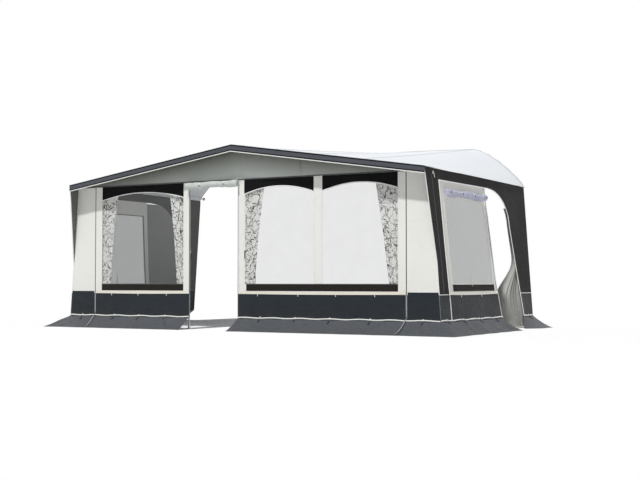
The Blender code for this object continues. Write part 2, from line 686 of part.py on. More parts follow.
def make_rail_bead():
    """The round bead along the roof's rear edge and down both side walls."""
    y = BACK_Y + GAP + BEAD_RADIUS
    half = ROOF_CLOTH / 2
    right = [(side_half(DEPTH, height), height) for height in (FOOT_HEIGHT, EAVE_REAR - EAVE_LAP)]
    over = [roof_point(share, BACK_Y) for share in reversed(roof_shares())]
    points = right + [(place.x, place.z - half) for place in over]
    points += [(-x, z) for x, z in reversed(right)]
    curve = bpy.data.curves.new("rail_bead", "CURVE")
    curve.dimensions = "3D"
    curve.bevel_depth = BEAD_RADIUS
    curve.bevel_resolution = 1
    curve.use_fill_caps = True
    line = curve.splines.new("POLY")
    line.points.add(len(points) - 1)
    for place, (x, z) in zip(line.points, points):
        place.co = (x, y, z, 1)
    keep("rail_bead", curve, BLACK)


# The tube frame's joints: the balls of the front joints carry the roof cloth
PITCH = math.atan2(FASCIA_PEAK - FASCIA_END, GABLE_HALF)
HUB_RADIUS = ARM_RADIUS * HUB_SHARE
POLE_DROP = (HUB_RADIUS + ROOF_CLOTH) / math.cos(PITCH) + CLOTH_ROOM
PAD_DROP = PAD_RADIUS + 2 * BEAD_RADIUS
FRAME_Y = FRONT_Y + POST_BACK
CENTRE = Vector((0, FRAME_Y, roof_point(0, FRAME_Y).z - POLE_DROP))
ROOF_POLE_END_Y = BACK_Y + BACK_EXTRA - PAD_THICK


def corner_point(side):
    share = CORNER_POST_X / GABLE_HALF
    return Vector((side * CORNER_POST_X, FRAME_Y, roof_point(share, FRAME_Y).z - POLE_DROP))


def side_pole_end(side):
    place = roof_point(side * SIDE_POLE_SHARE, BACK_Y)
    return Vector((place.x - side * SIDE_POLE_INSET, ROOF_POLE_END_Y, place.z - SIDE_POLE_INSET))


RIDGE_END = Vector((0, ROOF_POLE_END_Y, roof_point(0, BACK_Y).z - PAD_DROP))


def arm(name, start, end, radius, finish):
    """A plain round bar between two points."""
    along = end - start
    return turned(name, [(0, along.length), (radius, along.length), (radius, 0), (0, 0)], start, along, finish)


def hollow_tube(name, start, end, finish):
    """A tube closed at its start and open at its end."""
    length = (end - start).length
    profile = [
        (0, TUBE_CAP), (BORE_RADIUS, TUBE_CAP), (BORE_RADIUS, length), (TUBE_RADIUS, length),
        (TUBE_RADIUS, 0), (0, 0),
    ]
    return turned(name, profile, start, end - start, finish)


def make_joints_and_rafters():
    corners = {"left": corner_point(-1), "right": corner_point(1)}
    down = Vector((0, 0, -1))
    for name, side in (("left", -1), ("right", 1)):
        corner = corners[name]
        inward = (CENTRE - corner).normalized()
        back = (side_pole_end(side) - corner).normalized()
        arms = [arm(f"corner_joint_{name}", corner, corner + down * ARM_LENGTH, ARM_RADIUS, STEEL)]
        arms.append(arm("inward_arm", corner, corner + inward * ARM_LENGTH, ARM_RADIUS, STEEL))
        arms.append(arm("back_arm", corner, corner + back * ARM_LENGTH, ARM_RADIUS, STEEL))
        hub = turned("hub", hub_profile(), corner, down, STEEL)
        united(as_mesh(arms[0]), [as_mesh(arms[1]), as_mesh(arms[2]), as_mesh(hub)])
        start = corner + inward * (ARM_LENGTH + GAP)
        end = CENTRE - inward * (ARM_LENGTH + GAP)
        bar = [(0, (end - start).length), (TUBE_RADIUS, (end - start).length), (TUBE_RADIUS, 0), (0, 0)]
        turned(f"rafter_{name}", bar, start, end - start, STEEL)


def hub_profile():
    """A ball where the arms of a joint meet, from its far pole back to its near one."""
    steps = TUBE_SIDES // 2
    turns = [math.pi * i / steps for i in range(steps + 1)]
    return [(HUB_RADIUS * math.sin(turn), HUB_RADIUS * math.cos(turn)) for turn in turns]


def make_ridge_pole():
    """The ridge pole's front tube carries the centre joint, and its rear tube slides in it."""
    along = (RIDGE_END - CENTRE).normalized()
    reach = (RIDGE_END - CENTRE).length
    mouth = CENTRE + along * reach * POLE_JOIN_SHARE
    tube = hollow_tube("ridge_pole_front", CENTRE + along * ARM_LENGTH / 2, mouth, STEEL)
    pieces = [as_mesh(turned("hub", hub_profile(), CENTRE, along, STEEL))]
    pieces.append(as_mesh(arm("back_arm", CENTRE, CENTRE + along * ARM_LENGTH, ARM_RADIUS, STEEL)))
    for side in (-1, 1):
        way = (corner_point(side) - CENTRE).normalized()
        pieces.append(as_mesh(arm("side_arm", CENTRE, CENTRE + way * ARM_LENGTH, ARM_RADIUS, STEEL)))
    head = Vector((CENTRE_POST_X, FRAME_Y, CENTRE.z - ARM_RADIUS / 2))
    foot = Vector((CENTRE_POST_X, FRAME_Y, CENTRE.z - ARM_LENGTH))
    pieces.append(as_mesh(arm("down_arm", head, foot, ARM_RADIUS, STEEL)))
    united(as_mesh(tube), pieces)
    rear_pole("ridge_pole_rear", CENTRE, RIDGE_END)


def rear_pole(name, start, end):
    """A sliding inner tube with a flat pad that stands against the caravan."""
    along = (end - start).normalized()
    mouth = start + along * (end - start).length * POLE_JOIN_SHARE
    inner = mouth - along * POLE_INSERT
    bar = arm(name, inner, end + along * PAD_THICK / 2, INNER_RADIUS, STEEL)
    pad = turned(
        "pad", [(0, PAD_THICK), (PAD_RADIUS, PAD_THICK), (PAD_RADIUS, 0), (0, 0)],
        Vector((end.x, ROOF_POLE_END_Y, end.z)), Vector((0, 1, 0)), PLASTIC,
    )
    united(as_mesh(bar), [as_mesh(pad)])


def make_side_poles():
    for name, side in (("left", -1), ("right", 1)):
        start, end = corner_point(side), side_pole_end(side)
        along = (end - start).normalized()
        mouth = start + along * (end - start).length * POLE_JOIN_SHARE
        hollow_tube(f"side_pole_front_{name}", start + along * (ARM_LENGTH + GAP), mouth, STEEL)
        rear_pole(f"side_pole_rear_{name}", start, end)


def rafter_height(x):
    """Height of the rafters' axis over a place along the front wall."""
    corner = corner_point(1)
    return mixed(CENTRE.z, corner.z, abs(x) / corner.x)


def post_head(name, x):
    if name == "door":
        rise = TUBE_RADIUS / math.cos(math.atan2(CENTRE.z - corner_point(1).z, CORNER_POST_X))
        return rafter_height(abs(x) + TUBE_RADIUS) - rise - GAP
    hung = CENTRE.z if name == "centre" else corner_point(1).z
    return hung - ARM_LENGTH - GAP


def lever_outline():
    """A flat lever hanging from its eye, its grip narrowing to a round tip."""
    def round_end(middle, radius, first):
        turns = [math.pi * (first + i / ROUND_STEPS) for i in range(ROUND_STEPS + 1)]
        return [(radius * math.cos(turn), middle + radius * math.sin(turn)) for turn in turns]

    outer = round_end(0, LEVER_WIDTH / 2, 0) + round_end(-LEVER_LENGTH, LEVER_TIP / 2, 1)
    eye = PIN_RADIUS + EYE_ROOM
    turns = [2 * math.pi * i / ROUND_STEPS for i in range(ROUND_STEPS)]
    return [outer, [(eye * math.cos(turn), eye * math.sin(turn)) for turn in turns]]


def box_between(name, low, high, finish):
    data = bpy.data.meshes.new(name)
    work = bmesh.new()
    bmesh.ops.create_cube(work, size=1)
    size, middle = high - low, (high + low) / 2
    bmesh.ops.scale(work, verts=work.verts, vec=size)
    bmesh.ops.translate(work, verts=work.verts, vec=middle)
    work.to_mesh(data)
    work.free()
    return keep(name, data, finish)


def make_posts():
    places = {
        "left": -CORNER_POST_X, "door": DOOR_POST_X, "centre": CENTRE_POST_X, "right": CORNER_POST_X,
    }
    for name, x in places.items():
        length = post_head(name, x) - POST_JOIN
        foot = Vector((x, FRAME_Y, POST_JOIN))
        profile = [
            (0, length), (TUBE_RADIUS, length), (TUBE_RADIUS, COLLAR_HEIGHT), (COLLAR_RADIUS, COLLAR_HEIGHT),
            (COLLAR_RADIUS, 0), (BORE_RADIUS, 0), (BORE_RADIUS, length - TUBE_CAP), (0, length - TUBE_CAP),
        ]
        upper = turned(f"post_upper_{name}", profile, foot, Vector((0, 0, 1)), STEEL)
        pivot = foot + Vector((0, COLLAR_RADIUS + EAR_REACH / 2, COLLAR_HEIGHT / 2))
        half = Vector((EAR_THICK, EAR_REACH, EAR_HEIGHT)) / 2
        ear = box_between("ear", pivot - half - Vector((0, TUBE_CAP, 0)), pivot + half, STEEL)
        pin_start = pivot + Vector((EAR_THICK / 4, 0, 0))
        pin_end = pivot + Vector((EAR_THICK / 2 + LEVER_THICK + PIN_BEYOND / 2, 0, 0))
        pin = arm("pin", pin_start, pin_end, PIN_RADIUS, STEEL)
        united(as_mesh(upper), [ear, as_mesh(pin)])

        off = EAR_THICK / 2 + GAP + LEVER_THICK / 2
        flat = Matrix(((0, 0, 1, pivot.x), (1, 0, 0, pivot.y), (0, 1, 0, pivot.z), (0, 0, 0, 1)))
        outline_sheet(f"post_lever_{name}", lever_outline(), LEVER_THICK, flat, off, PLASTIC)

        top = POST_JOIN + POST_INSERT
        profile = [
            (0, top), (INNER_RADIUS, top), (INNER_RADIUS, BOSS_HEIGHT), (BOSS_RADIUS, BOSS_HEIGHT),
            (BOSS_RADIUS, PLATE_THICK), (PLATE_RADIUS, PLATE_THICK), (PLATE_RADIUS, 0), (0, 0),
        ]
        turned(f"post_lower_{name}", profile, Vector((x, FRAME_Y, 0)), Vector((0, 0, 1)), STEEL)


def make_zip_sliders():
    face = FRONT_Y - CLOTH / 2 - GAP
    for name, side in (("left", -1), ("right", 1)):
        middle = Vector((side * ZIP_X, 0, SLIDER_HEIGHT_AT_REST))
        half = Vector((SLIDER_WIDTH, 0, SLIDER_HEIGHT)) / 2
        low, high = middle - half, middle + half
        low.y, high.y = face - SLIDER_THICK, face
        body = box_between(f"zip_slider_{name}", low, high, STEEL)
        hung = middle - Vector((0, 0, PULL_LENGTH / 2))
        half = Vector((PULL_WIDTH, 0, PULL_LENGTH)) / 2
        low, high = hung - half, hung + half
        low.y, high.y = face - SLIDER_THICK - PULL_THICK, face - SLIDER_THICK + PULL_THICK
        united(body, [box_between("pull", low, high, STEEL)])


make_roof()
make_gable()
make_front_walls()
make_corner_panels_and_mud_bands()
make_side_walls()
make_rolls()
make_curtains()
make_tied_door()
make_skirts()
make_rail_bead()
make_joints_and_rafters()
make_ridge_pole()
make_side_poles()
make_posts()
make_zip_sliders()

for piece in parts.objects:
    if piece.type == "MESH" and any(item.type == "SCREW" for item in piece.modifiers):
        piece.data.shade_smooth()
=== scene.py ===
import math

import bmesh
import bpy
import numpy as np
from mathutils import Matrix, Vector


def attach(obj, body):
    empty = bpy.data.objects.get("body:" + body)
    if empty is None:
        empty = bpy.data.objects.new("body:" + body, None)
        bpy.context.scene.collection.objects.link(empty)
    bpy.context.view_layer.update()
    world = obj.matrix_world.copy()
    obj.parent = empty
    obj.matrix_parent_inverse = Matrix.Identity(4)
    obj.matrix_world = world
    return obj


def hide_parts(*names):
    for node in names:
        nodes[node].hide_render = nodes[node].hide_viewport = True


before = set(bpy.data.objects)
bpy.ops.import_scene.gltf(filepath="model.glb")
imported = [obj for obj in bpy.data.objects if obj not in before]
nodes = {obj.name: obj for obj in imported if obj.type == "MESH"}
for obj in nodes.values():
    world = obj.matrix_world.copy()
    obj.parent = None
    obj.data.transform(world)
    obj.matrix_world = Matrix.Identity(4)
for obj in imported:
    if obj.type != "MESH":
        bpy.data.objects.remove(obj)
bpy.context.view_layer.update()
root = "awning"
print("frame loaded:", len(nodes), "nodes")

room = {
    "frontY": -1.35365, "backY": 1.64635, "depth": 3.0, "halfGround": 2.854, "lean": 0.134 / 1.95,
    "splay": 0.02, "seam": 1.95, "hem": 0.47, "foot": 0.16, "overhang": 0.18, "zipX": 2.40,
    "doorLeft": -0.785, "doorRight": 0.0, "frameY": -1.29165, "bandDrop": 0.115, "gap": 0.0003,
}
sheets = {"cloth": 0.0016, "overlay": 0.0012, "film": 0.0008, "hem": 0.0014, "crisp": 1.1, "weld": 1e-5}
windows = {"left": (-2.28, -0.88), "middle": (0.09, 1.127), "right": (1.25, 2.29)}
arch = {"foot": 1.755, "rise": 0.09}
sill = {"foot": 0.51, "head": 0.60, "start": 0.035}
sides = (("left", -1), ("right", 1))
doors = {"left": room["doorLeft"], "right": room["doorRight"]}
bandHead = room["seam"] - room["bandDrop"]          # foot of the black band along the top of each side
overlayOff = sheets["cloth"] / 2 + room["gap"] + sheets["overlay"] / 2
filmOff = -(sheets["cloth"] / 2 + room["gap"] + sheets["film"] / 2)


def paint(red, green, blue):
    # a colour given in screen values, turned to linear light
    values = np.array((red, green, blue)) / 255
    linear = np.where(values <= 0.04045, values / 12.92, ((values + 0.055) / 1.055) ** 2.4)
    return (*linear.tolist(), 1.0)


def feed(node, inputs):
    # sockets by name or place: another socket is linked to, anything else becomes the value
    for key, value in inputs.items():
        if isinstance(value, bpy.types.NodeSocket):
            node.id_data.links.new(value, node.inputs[key])
        else:
            node.inputs[key].default_value = value
    return node


def add(tree, kind, inputs=None, **settings):
    node = tree.nodes.new("ShaderNode" + kind)
    for name, value in settings.items():
        setattr(node, name, value)
    return feed(node, inputs or {})


def newGroup(name, inputs, outputs):
    # inputs by name with their number, None for a vector; every output is a number
    group = bpy.data.node_groups.new(name, "ShaderNodeTree")
    for socketName, value in inputs.items():
        kind = "NodeSocketVector" if value is None else "NodeSocketFloat"
        made = group.interface.new_socket(name=socketName, in_out="INPUT", socket_type=kind)
        if value is not None:
            made.default_value = value
    for socketName in outputs:
        group.interface.new_socket(name=socketName, in_out="OUTPUT", socket_type="NodeSocketFloat")
    return group, group.nodes.new("NodeGroupInput").outputs, group.nodes.new("NodeGroupOutput")


def calc(tree, operation, *operands, clamp=False):
    return add(tree, "Math", dict(enumerate(operands)), operation=operation, use_clamp=clamp).outputs[0]


def noise(tree, vector, scale, detail=3.0, rough=0.55, distortion=0.0):
    inputs = {"Vector": vector, "Scale": scale, "Detail": detail, "Roughness": rough, "Distortion": distortion}
    return add(tree, "TexNoise", inputs).outputs["Fac"]


def stretched(tree, vector, factors):
    return add(tree, "VectorMath", {0: vector, 1: factors}, operation="MULTIPLY").outputs["Vector"]


def axesOf(tree, vector):
    return add(tree, "SeparateXYZ", {0: vector}).outputs


def remap(tree, value, low, high, toLow=0.0, toHigh=1.0):
    return add(tree, "MapRange", {0: value, 1: low, 2: high, 3: toLow, 4: toHigh}).outputs[0]


def blend(tree, mask, amount, first, second):
    # from the first colour towards the second, by a mask times an amount
    share = calc(tree, "MULTIPLY", mask, amount, clamp=True)
    return add(tree, "Mix", {0: share, 6: first, 7: second}, data_type="RGBA").outputs[2]


def buildWeave():
    # plain weave: the crossed sines of warp and weft, with slubs along the weft
    group, start, end = newGroup("clothWeave", {"Vector": None, "Threads": 420.0}, ("Height", "Thread"))
    warp, weft = (calc(group, "SINE", calc(group, "MULTIPLY", axis, start["Threads"]))
                  for axis in axesOf(group, start["Vector"])[:2])
    crossed = calc(group, "MULTIPLY", warp, weft)
    slubs = noise(group, stretched(group, start["Vector"], (9, 160, 1)), 1.0, 2.0)
    feed(end, {"Height": calc(group, "ADD", crossed, calc(group, "MULTIPLY", slubs, 0.6)),
               "Thread": calc(group, "MULTIPLY", crossed, slubs)})
    return group


def buildWeather():
    # tint: broad cloudy change; dirt: splashes that thin out upwards; streak: runs of rain down the cloth
    group, start, end = newGroup("weather", {"Vector": None, "Splash Height": 0.45}, ("Tint", "Dirt", "Streak"))
    vector = start["Vector"]
    low = calc(group, "DIVIDE", axesOf(group, vector)[2], start["Splash Height"])
    near = calc(group, "POWER", calc(group, "SUBTRACT", 1.0, low, clamp=True), 1.5)
    spots = remap(group, noise(group, vector, 34.0, 5.0, 0.7), 0.42, 0.72)
    clouds = remap(group, noise(group, vector, 5.0, 3.0), 0.35, 0.7)
    mixed = calc(group, "MULTIPLY", calc(group, "ADD", spots, clouds), near)
    runs = noise(group, stretched(group, vector, (14, 14, 0.7)), 1.0, 3.0)
    feed(end, {"Tint": noise(group, vector, 1.7, 4.0), "Streak": remap(group, runs, 0.45, 0.75),
               "Dirt": calc(group, "MULTIPLY", mixed, 0.6, clamp=True)})
    return group


def buildCreases():
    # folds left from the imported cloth: ridges where two stretched noises cross their middle
    group, start, end = newGroup("creases", {"Vector": None, "Size": 3.0}, ("Height",))
    scaled = add(group, "VectorMath", {0: start["Vector"], "Scale": start["Size"]}, operation="SCALE").outputs[0]
    ridges = []
    for factors, bend in (((1.0, 0.45, 0.8), 0.6), ((0.4, 1.0, 1.2), 1.2)):
        field = noise(group, stretched(group, scaled, factors), 1.0, 3.0, 0.5, bend)
        away = calc(group, "ABSOLUTE", calc(group, "SUBTRACT", field, 0.5))
        ridge = calc(group, "SUBTRACT", 1.0, calc(group, "MULTIPLY", away, 7.0, clamp=True))
        ridges.append(calc(group, "POWER", ridge, 2.5))
    feed(end, {"Height": calc(group, "ADD", *ridges)})
    return group


def buildPrint():
    # loose twigs: the edges between scattered cells, bent by a slow noise; each stroke thins out and stops
    # where a second noise falls below its gate
    group, start, end = newGroup("twigPrint", {"Vector": None}, ("Dark Line", "Warm Line"))
    wander = add(group, "TexNoise", {"Vector": start["Vector"], "Scale": 9.0, "Detail": 1.0})
    bent = add(group, "VectorMath", {0: wander.outputs["Color"], 1: (0.13, 0.13, 0), 2: start["Vector"]},
               operation="MULTIPLY_ADD").outputs[0]
    strokes = []
    for shift, size, width, gate in ((0.0, 9.5, 0.046, 0.39), (5.3, 12.0, 0.043, 0.46), (9.1, 10.5, 0.037, 0.50)):
        moved = add(group, "VectorMath", {0: bent, 1: (shift, shift * 0.7, 0)}, operation="ADD").outputs[0]
        cells = add(group, "TexVoronoi", {"Vector": moved, "Scale": size}, voronoi_dimensions="2D",
                    feature="DISTANCE_TO_EDGE")
        over = calc(group, "SUBTRACT", noise(group, moved, 9.0, 1.0), gate)
        reach = calc(group, "MINIMUM", calc(group, "MULTIPLY", over, 0.8), width)
        reach = calc(group, "MAXIMUM", reach, 0.0004)
        strokes.append(remap(group, calc(group, "DIVIDE", cells.outputs["Distance"], reach), 1.0, 0.6))
    feed(end, {"Dark Line": calc(group, "MAXIMUM", *strokes[:2]), "Warm Line": strokes[2]})
    return group


def buildZipTeeth():
    # cross bars every few millimetres along the tape: a steep sine of the distance along it
    group, start, end = newGroup("zipTeeth", {"Vector": None, "Pitch": 0.004}, ("Height",))
    turns = calc(group, "DIVIDE", axesOf(group, start["Vector"])[1], start["Pitch"])
    wave = calc(group, "SINE", calc(group, "MULTIPLY", turns, 2 * math.pi))
    feed(end, {"Height": remap(group, wave, -0.2, 0.4)})
    return group


def buildMetalGrain():
    # zinc spangle: flat crystals of slightly different grey, fine scratches and broad stains
    group, start, end = newGroup("zincGrain", {"Vector": None}, ("Spangle", "Scratch", "Stain"))
    cells = add(group, "TexVoronoi", {"Vector": start["Vector"], "Scale": 160.0})
    feed(end, {"Spangle": add(group, "SeparateColor", {0: cells.outputs["Color"]}).outputs[0],
               "Scratch": remap(group, noise(group, start["Vector"], 420.0, 3.0), 0.5, 0.75),
               "Stain": remap(group, noise(group, start["Vector"], 7.0, 4.0), 0.52, 0.75)})
    return group


groups = {"weave": buildWeave(), "weather": buildWeather(), "creases": buildCreases(), "print": buildPrint(),
          "grain": buildMetalGrain(), "teeth": buildZipTeeth()}
dust = paint(96, 88, 74)
weathering = {"sheen": 0.04, "tint": 0.35, "thread": 0.10, "streak": 0.10, "foldHeight": 0.004, "ribHeight": 0.0006}


def newMaterial(name, roughness, metallic=0.0):
    made = bpy.data.materials.new(name)
    made.use_nodes = True
    shader = feed(made.node_tree.nodes["Principled BSDF"], {"Roughness": roughness, "Metallic": metallic})
    return made, made.node_tree, shader


def useGroup(tree, name, vector, **values):
    return add(tree, "Group", {"Vector": vector, **values}, node_tree=groups[name]).outputs


def raisedBy(tree, height, strength, distance, onto=None):
    inputs = {"Strength": strength, "Distance": distance, "Height": height}
    if onto is not None:
        inputs["Normal"] = onto
    return add(tree, "Bump", inputs).outputs["Normal"]


def clothMaterial(name, colour, darker, roughness, threads=420.0, weave=0.25, crease=0.25, creaseSize=3.0,
                  dirt=0.35, splash=0.45, specular=0.3, paintedShade=None):
    # coated cloth: weave and fold lines in its bump, cloudy tint, splashes near the ground, and where asked a painted
    # shade towards a sloping head
    made, tree, shader = newMaterial(name, roughness)
    coords = add(tree, "TexCoord").outputs
    woven = useGroup(tree, "weave", coords["UV"], Threads=threads)
    aged = useGroup(tree, "weather", coords["Object"], **{"Splash Height": splash})
    folded = useGroup(tree, "creases", coords["Object"], Size=creaseSize)
    dark = paint(*darker)
    toned = blend(tree, aged["Tint"], weathering["tint"], paint(*colour), dark)
    if paintedShade:
        # painted shade under the overhang: darker towards the sloping head, by height + slope * |x|
        axes = axesOf(tree, coords["Object"])
        rise = calc(tree, "MULTIPLY", calc(tree, "ABSOLUTE", axes[0]), paintedShade["slope"])
        share = remap(tree, calc(tree, "ADD", axes[2], rise), paintedShade["low"], paintedShade["high"])
        toned = blend(tree, share, 1.0, toned, paint(*paintedShade["colour"]))
    toned = blend(tree, woven["Thread"], weathering["thread"], toned, dark)
    toned = blend(tree, aged["Streak"], weathering["streak"], toned, dark)
    toned = blend(tree, aged["Dirt"], dirt, toned, dust)
    normal = raisedBy(tree, folded["Height"], crease, weathering["foldHeight"])
    feed(shader, {
        "Base Color": toned, "Sheen Weight": weathering["sheen"], "Specular IOR Level": specular,
        "Roughness": remap(tree, aged["Tint"], 0.3, 0.7, roughness - 0.06, min(1.0, roughness + 0.08)),
        "Normal": raisedBy(tree, woven["Height"], weave, weathering["ribHeight"], normal),
    })
    return made


def filmMaterial(name, colour, cover, roughness):
    # clear soft film: cover is the share of light it stops; faint waves in its gloss, a few smears
    made, tree, shader = newMaterial(name, roughness)
    coords = add(tree, "TexCoord").outputs
    smears = noise(tree, coords["Object"], 6.0, 4.0)
    waves = noise(tree, stretched(tree, coords["Object"], (1.5, 1.5, 0.8)), 3.0, 2.0)
    feed(shader, {
        "Base Color": paint(*colour), "Specular IOR Level": 0.9, "Normal": raisedBy(tree, waves, 0.35, 0.012),
        "Alpha": remap(tree, smears, 0.35, 0.75, cover - 0.005, cover + 0.01),
        "Roughness": remap(tree, smears, 0.45, 0.8, roughness, roughness + 0.12),
    })
    return made


def curtainMaterial():
    made, tree, shader = newMaterial("printedCurtain", 0.85)
    coords = add(tree, "TexCoord").outputs
    printed = useGroup(tree, "print", coords["UV"])
    woven = useGroup(tree, "weave", coords["UV"], Threads=2600.0)
    aged = useGroup(tree, "weather", coords["Object"])
    ground = blend(tree, aged["Tint"], 0.25, paint(254, 254, 251), paint(242, 242, 238))
    dark = blend(tree, printed["Dark Line"], 1.0, ground, paint(46, 41, 40))
    feed(shader, {
        "Base Color": blend(tree, printed["Warm Line"], 1.0, dark, paint(104, 80, 66)), "Sheen Weight": 0.1,
        "Normal": raisedBy(tree, woven["Height"], 0.2, 0.0003),
    })
    return made


def zipMaterial(name, colour, tooth):
    made, tree, shader = newMaterial(name, 0.5)
    coords = add(tree, "TexCoord").outputs
    teeth = useGroup(tree, "teeth", coords["UV"])["Height"]
    aged = useGroup(tree, "weather", coords["Object"])
    raised = blend(tree, teeth, 1.0, paint(*colour), paint(*tooth))
    feed(shader, {
        "Base Color": blend(tree, aged["Dirt"], 0.4, raised, dust),
        "Roughness": remap(tree, teeth, 0, 1, 0.65, 0.35), "Normal": raisedBy(tree, teeth, 0.6, 0.001),
    })
    return made


def metalMaterial(name, colour, darker, roughness):
    made, tree, shader = newMaterial(name, roughness, 0.9)
    grain = useGroup(tree, "grain", add(tree, "TexCoord").outputs["Object"])
    toned = blend(tree, grain["Spangle"], 0.5, paint(*colour), paint(*darker))
    rough = calc(tree, "ADD", calc(tree, "MULTIPLY", grain["Spangle"], 0.14), roughness)
    feed(shader, {
        "Base Color": blend(tree, grain["Stain"], 0.35, toned, paint(112, 108, 100)),
        "Roughness": calc(tree, "ADD", rough, calc(tree, "MULTIPLY", grain["Scratch"], 0.12)),
        "Normal": raisedBy(tree, grain["Scratch"], 0.15, 0.0004),
    })
    return made


def mouldedMaterial(name, colour, lighter, roughness):
    # moulded plastic or rubber: fine grain, paler where it is scuffed
    made, tree, shader = newMaterial(name, roughness)
    coords = add(tree, "TexCoord").outputs
    scuffs = remap(tree, noise(tree, coords["Object"], 38.0, 4.0, 0.7), 0.55, 0.8)
    grain = noise(tree, coords["Object"], 900.0, 2.0)
    feed(shader, {
        "Base Color": blend(tree, scuffs, 0.5, paint(*colour), paint(*lighter)),
        "Roughness": remap(tree, scuffs, 0.0, 1.0, roughness, min(1.0, roughness + 0.2)),
        "Normal": raisedBy(tree, grain, 0.2, 0.0003),
    })
    return made


finishes = {
    "roof": clothMaterial("roofCloth", (233, 236, 240), (213, 217, 222), 0.5, crease=0.3, creaseSize=1.6, dirt=0.0),
    "roofSeam": clothMaterial("roofSeamTape", (211, 214, 220), (193, 197, 203), 0.5, crease=0.1, dirt=0.0),
    "wall": clothMaterial("wallCloth", (227, 227, 222), (209, 209, 204), 0.68, dirt=0.2, splash=0.9),
    "panel": clothMaterial("sidePanelCloth", (236, 236, 230), (219, 219, 213), 0.66, dirt=0.2, splash=0.9),
    # the gable's painted shade: darker towards the fascia, standing in for the overhang's shadow on it
    "gable": clothMaterial("gableCloth", (192, 197, 192), (168, 173, 167), 0.7, dirt=0.0,
                           paintedShade={"slope": 0.141, "low": 2.04, "high": 2.34, "colour": (80, 82, 72)}),
    "hem": clothMaterial("creamHem", (227, 223, 211), (207, 202, 188), 0.6, crease=0.1, dirt=0.25, splash=0.8),
    "fascia": clothMaterial("slateFascia", (76, 79, 86), (61, 64, 70), 0.6, crease=0.3, creaseSize=9.0, dirt=0.0,
                            specular=0.2),
    "trim": clothMaterial("darkTrim", (20, 20, 22), (15, 15, 16), 0.65, crease=0.1, dirt=0.1, specular=0.1),
    "stripe": clothMaterial("blackStripe", (36, 35, 35), (27, 26, 27), 0.7, crease=0.35, creaseSize=5.0,
                            dirt=0.22, splash=0.7, specular=0.1),
    "stripeInside": clothMaterial("stripeInside", (112, 111, 108), (92, 91, 88), 0.75, crease=0.3, creaseSize=5.0,
                                  dirt=0.1, specular=0.15),
    # painted shade: the valances' black cloth is written darker than the stripes' for the overhang's shade over it
    "valance": clothMaterial("blackValancePaintedShade", (17, 17, 19), (12, 12, 14), 0.7, crease=0.3, creaseSize=5.0,
                             dirt=0.0, specular=0.06),
    "sill": clothMaterial("brownSill", (35, 32, 30), (25, 23, 21), 0.65, creaseSize=6.0, dirt=0.2, splash=0.9,
                          specular=0.07),
    "mud": clothMaterial("mudBand", (37, 43, 49), (28, 33, 38), 0.5, threads=900.0, weave=0.12, crease=0.45,
                         creaseSize=4.0, dirt=0.26, specular=0.14),
    "skirt": clothMaterial("skirtCloth", (77, 81, 87), (58, 62, 68), 0.5, threads=900.0, weave=0.12,
                           crease=0.9, creaseSize=5.0, dirt=0.36, splash=0.3, specular=0.2),
    "flap": clothMaterial("greyDoorCloth", (168, 168, 164), (132, 132, 129), 0.7, crease=0.4, creaseSize=5.0,
                          dirt=0.3, splash=0.6, specular=0.2),
    "cover": clothMaterial("lilacCover", (194, 195, 217), (128, 130, 160), 0.45, threads=1200.0, weave=0.1,
                           crease=0.9, creaseSize=11.0, dirt=0.0),
    "doorRoll": clothMaterial("rolledDoor", (198, 202, 198), (160, 165, 160), 0.62, crease=0.6, creaseSize=8.0,
                              dirt=0.0, specular=0.25),
    "piping": clothMaterial("whitePiping", (236, 237, 233), (216, 216, 211), 0.45, weave=0.05, crease=0.0,
                            dirt=0.25, splash=0.3),
    # painted light: a whiter copy of the piping for the side walls, which the lamp lights less
    "sidePipingPaintedLight": clothMaterial("sidePipingPaintedLight", (253, 253, 251), (241, 241, 238), 0.4, weave=0.05, crease=0.0,
                                dirt=0.1, splash=0.3),
    "mudPiping": clothMaterial("mudPiping", (104, 109, 111), (84, 89, 91), 0.5, weave=0.05, crease=0.0),
    # painted light: a paler copy of the cream hem for the side walls, which the lamp lights less
    "sideHemPaintedLight": clothMaterial("sideHemPaintedLight", (252, 249, 240), (236, 232, 221), 0.6, crease=0.1, dirt=0.15, splash=0.6),
    "zipTape": zipMaterial("zipTape", (50, 50, 53), (84, 84, 88)),
    "paleZip": zipMaterial("paleZip", (128, 130, 131), (168, 170, 171)),
    "webbing": clothMaterial("webbing", (226, 226, 220), (188, 188, 182), 0.7, threads=2200.0, weave=0.5,
                             crease=0.0, dirt=0.4, splash=0.3),
    "curtain": curtainMaterial(),
    "film": filmMaterial("clearFilm", (60, 68, 72), 0.12, 0.04),
    # the side film stops more light than the front one: partly its own tint, partly painted shade for the dim inside
    # seen through it
    "sideFilmTintAndPaintedShade": filmMaterial("sideFilmTintAndPaintedShade", (58, 76, 73), 0.40, 0.05),
    "zinc": metalMaterial("zincSteel", (188, 190, 192), (150, 152, 156), 0.3),
    "slider": metalMaterial("zipMetal", (120, 120, 122), (84, 84, 86), 0.35),
    "plastic": mouldedMaterial("blackPlastic", (30, 30, 32), (70, 70, 72), 0.45),
    "track": mouldedMaterial("whitePlastic", (222, 222, 218), (198, 198, 194), 0.4),
    "rubber": mouldedMaterial("darkRubber", (34, 34, 36), (78, 74, 68), 0.7),
}
print("finishes made:", len(finishes))


def spaced(marks, pitch):
    # places from mark to mark in steps no longer than pitch, every mark kept
    parts = [np.linspace(a, b, max(1, int(np.ceil(abs(b - a) / pitch))) + 1)[:-1] for a, b in zip(marks, marks[1:])]
    return np.append(np.concatenate(parts), marks[-1])


def rowsBetween(low, high, count):
    # count steps up from one height, or line of heights, to another
    return low + (high - low) * np.linspace(0, 1, count + 1)[:, None]


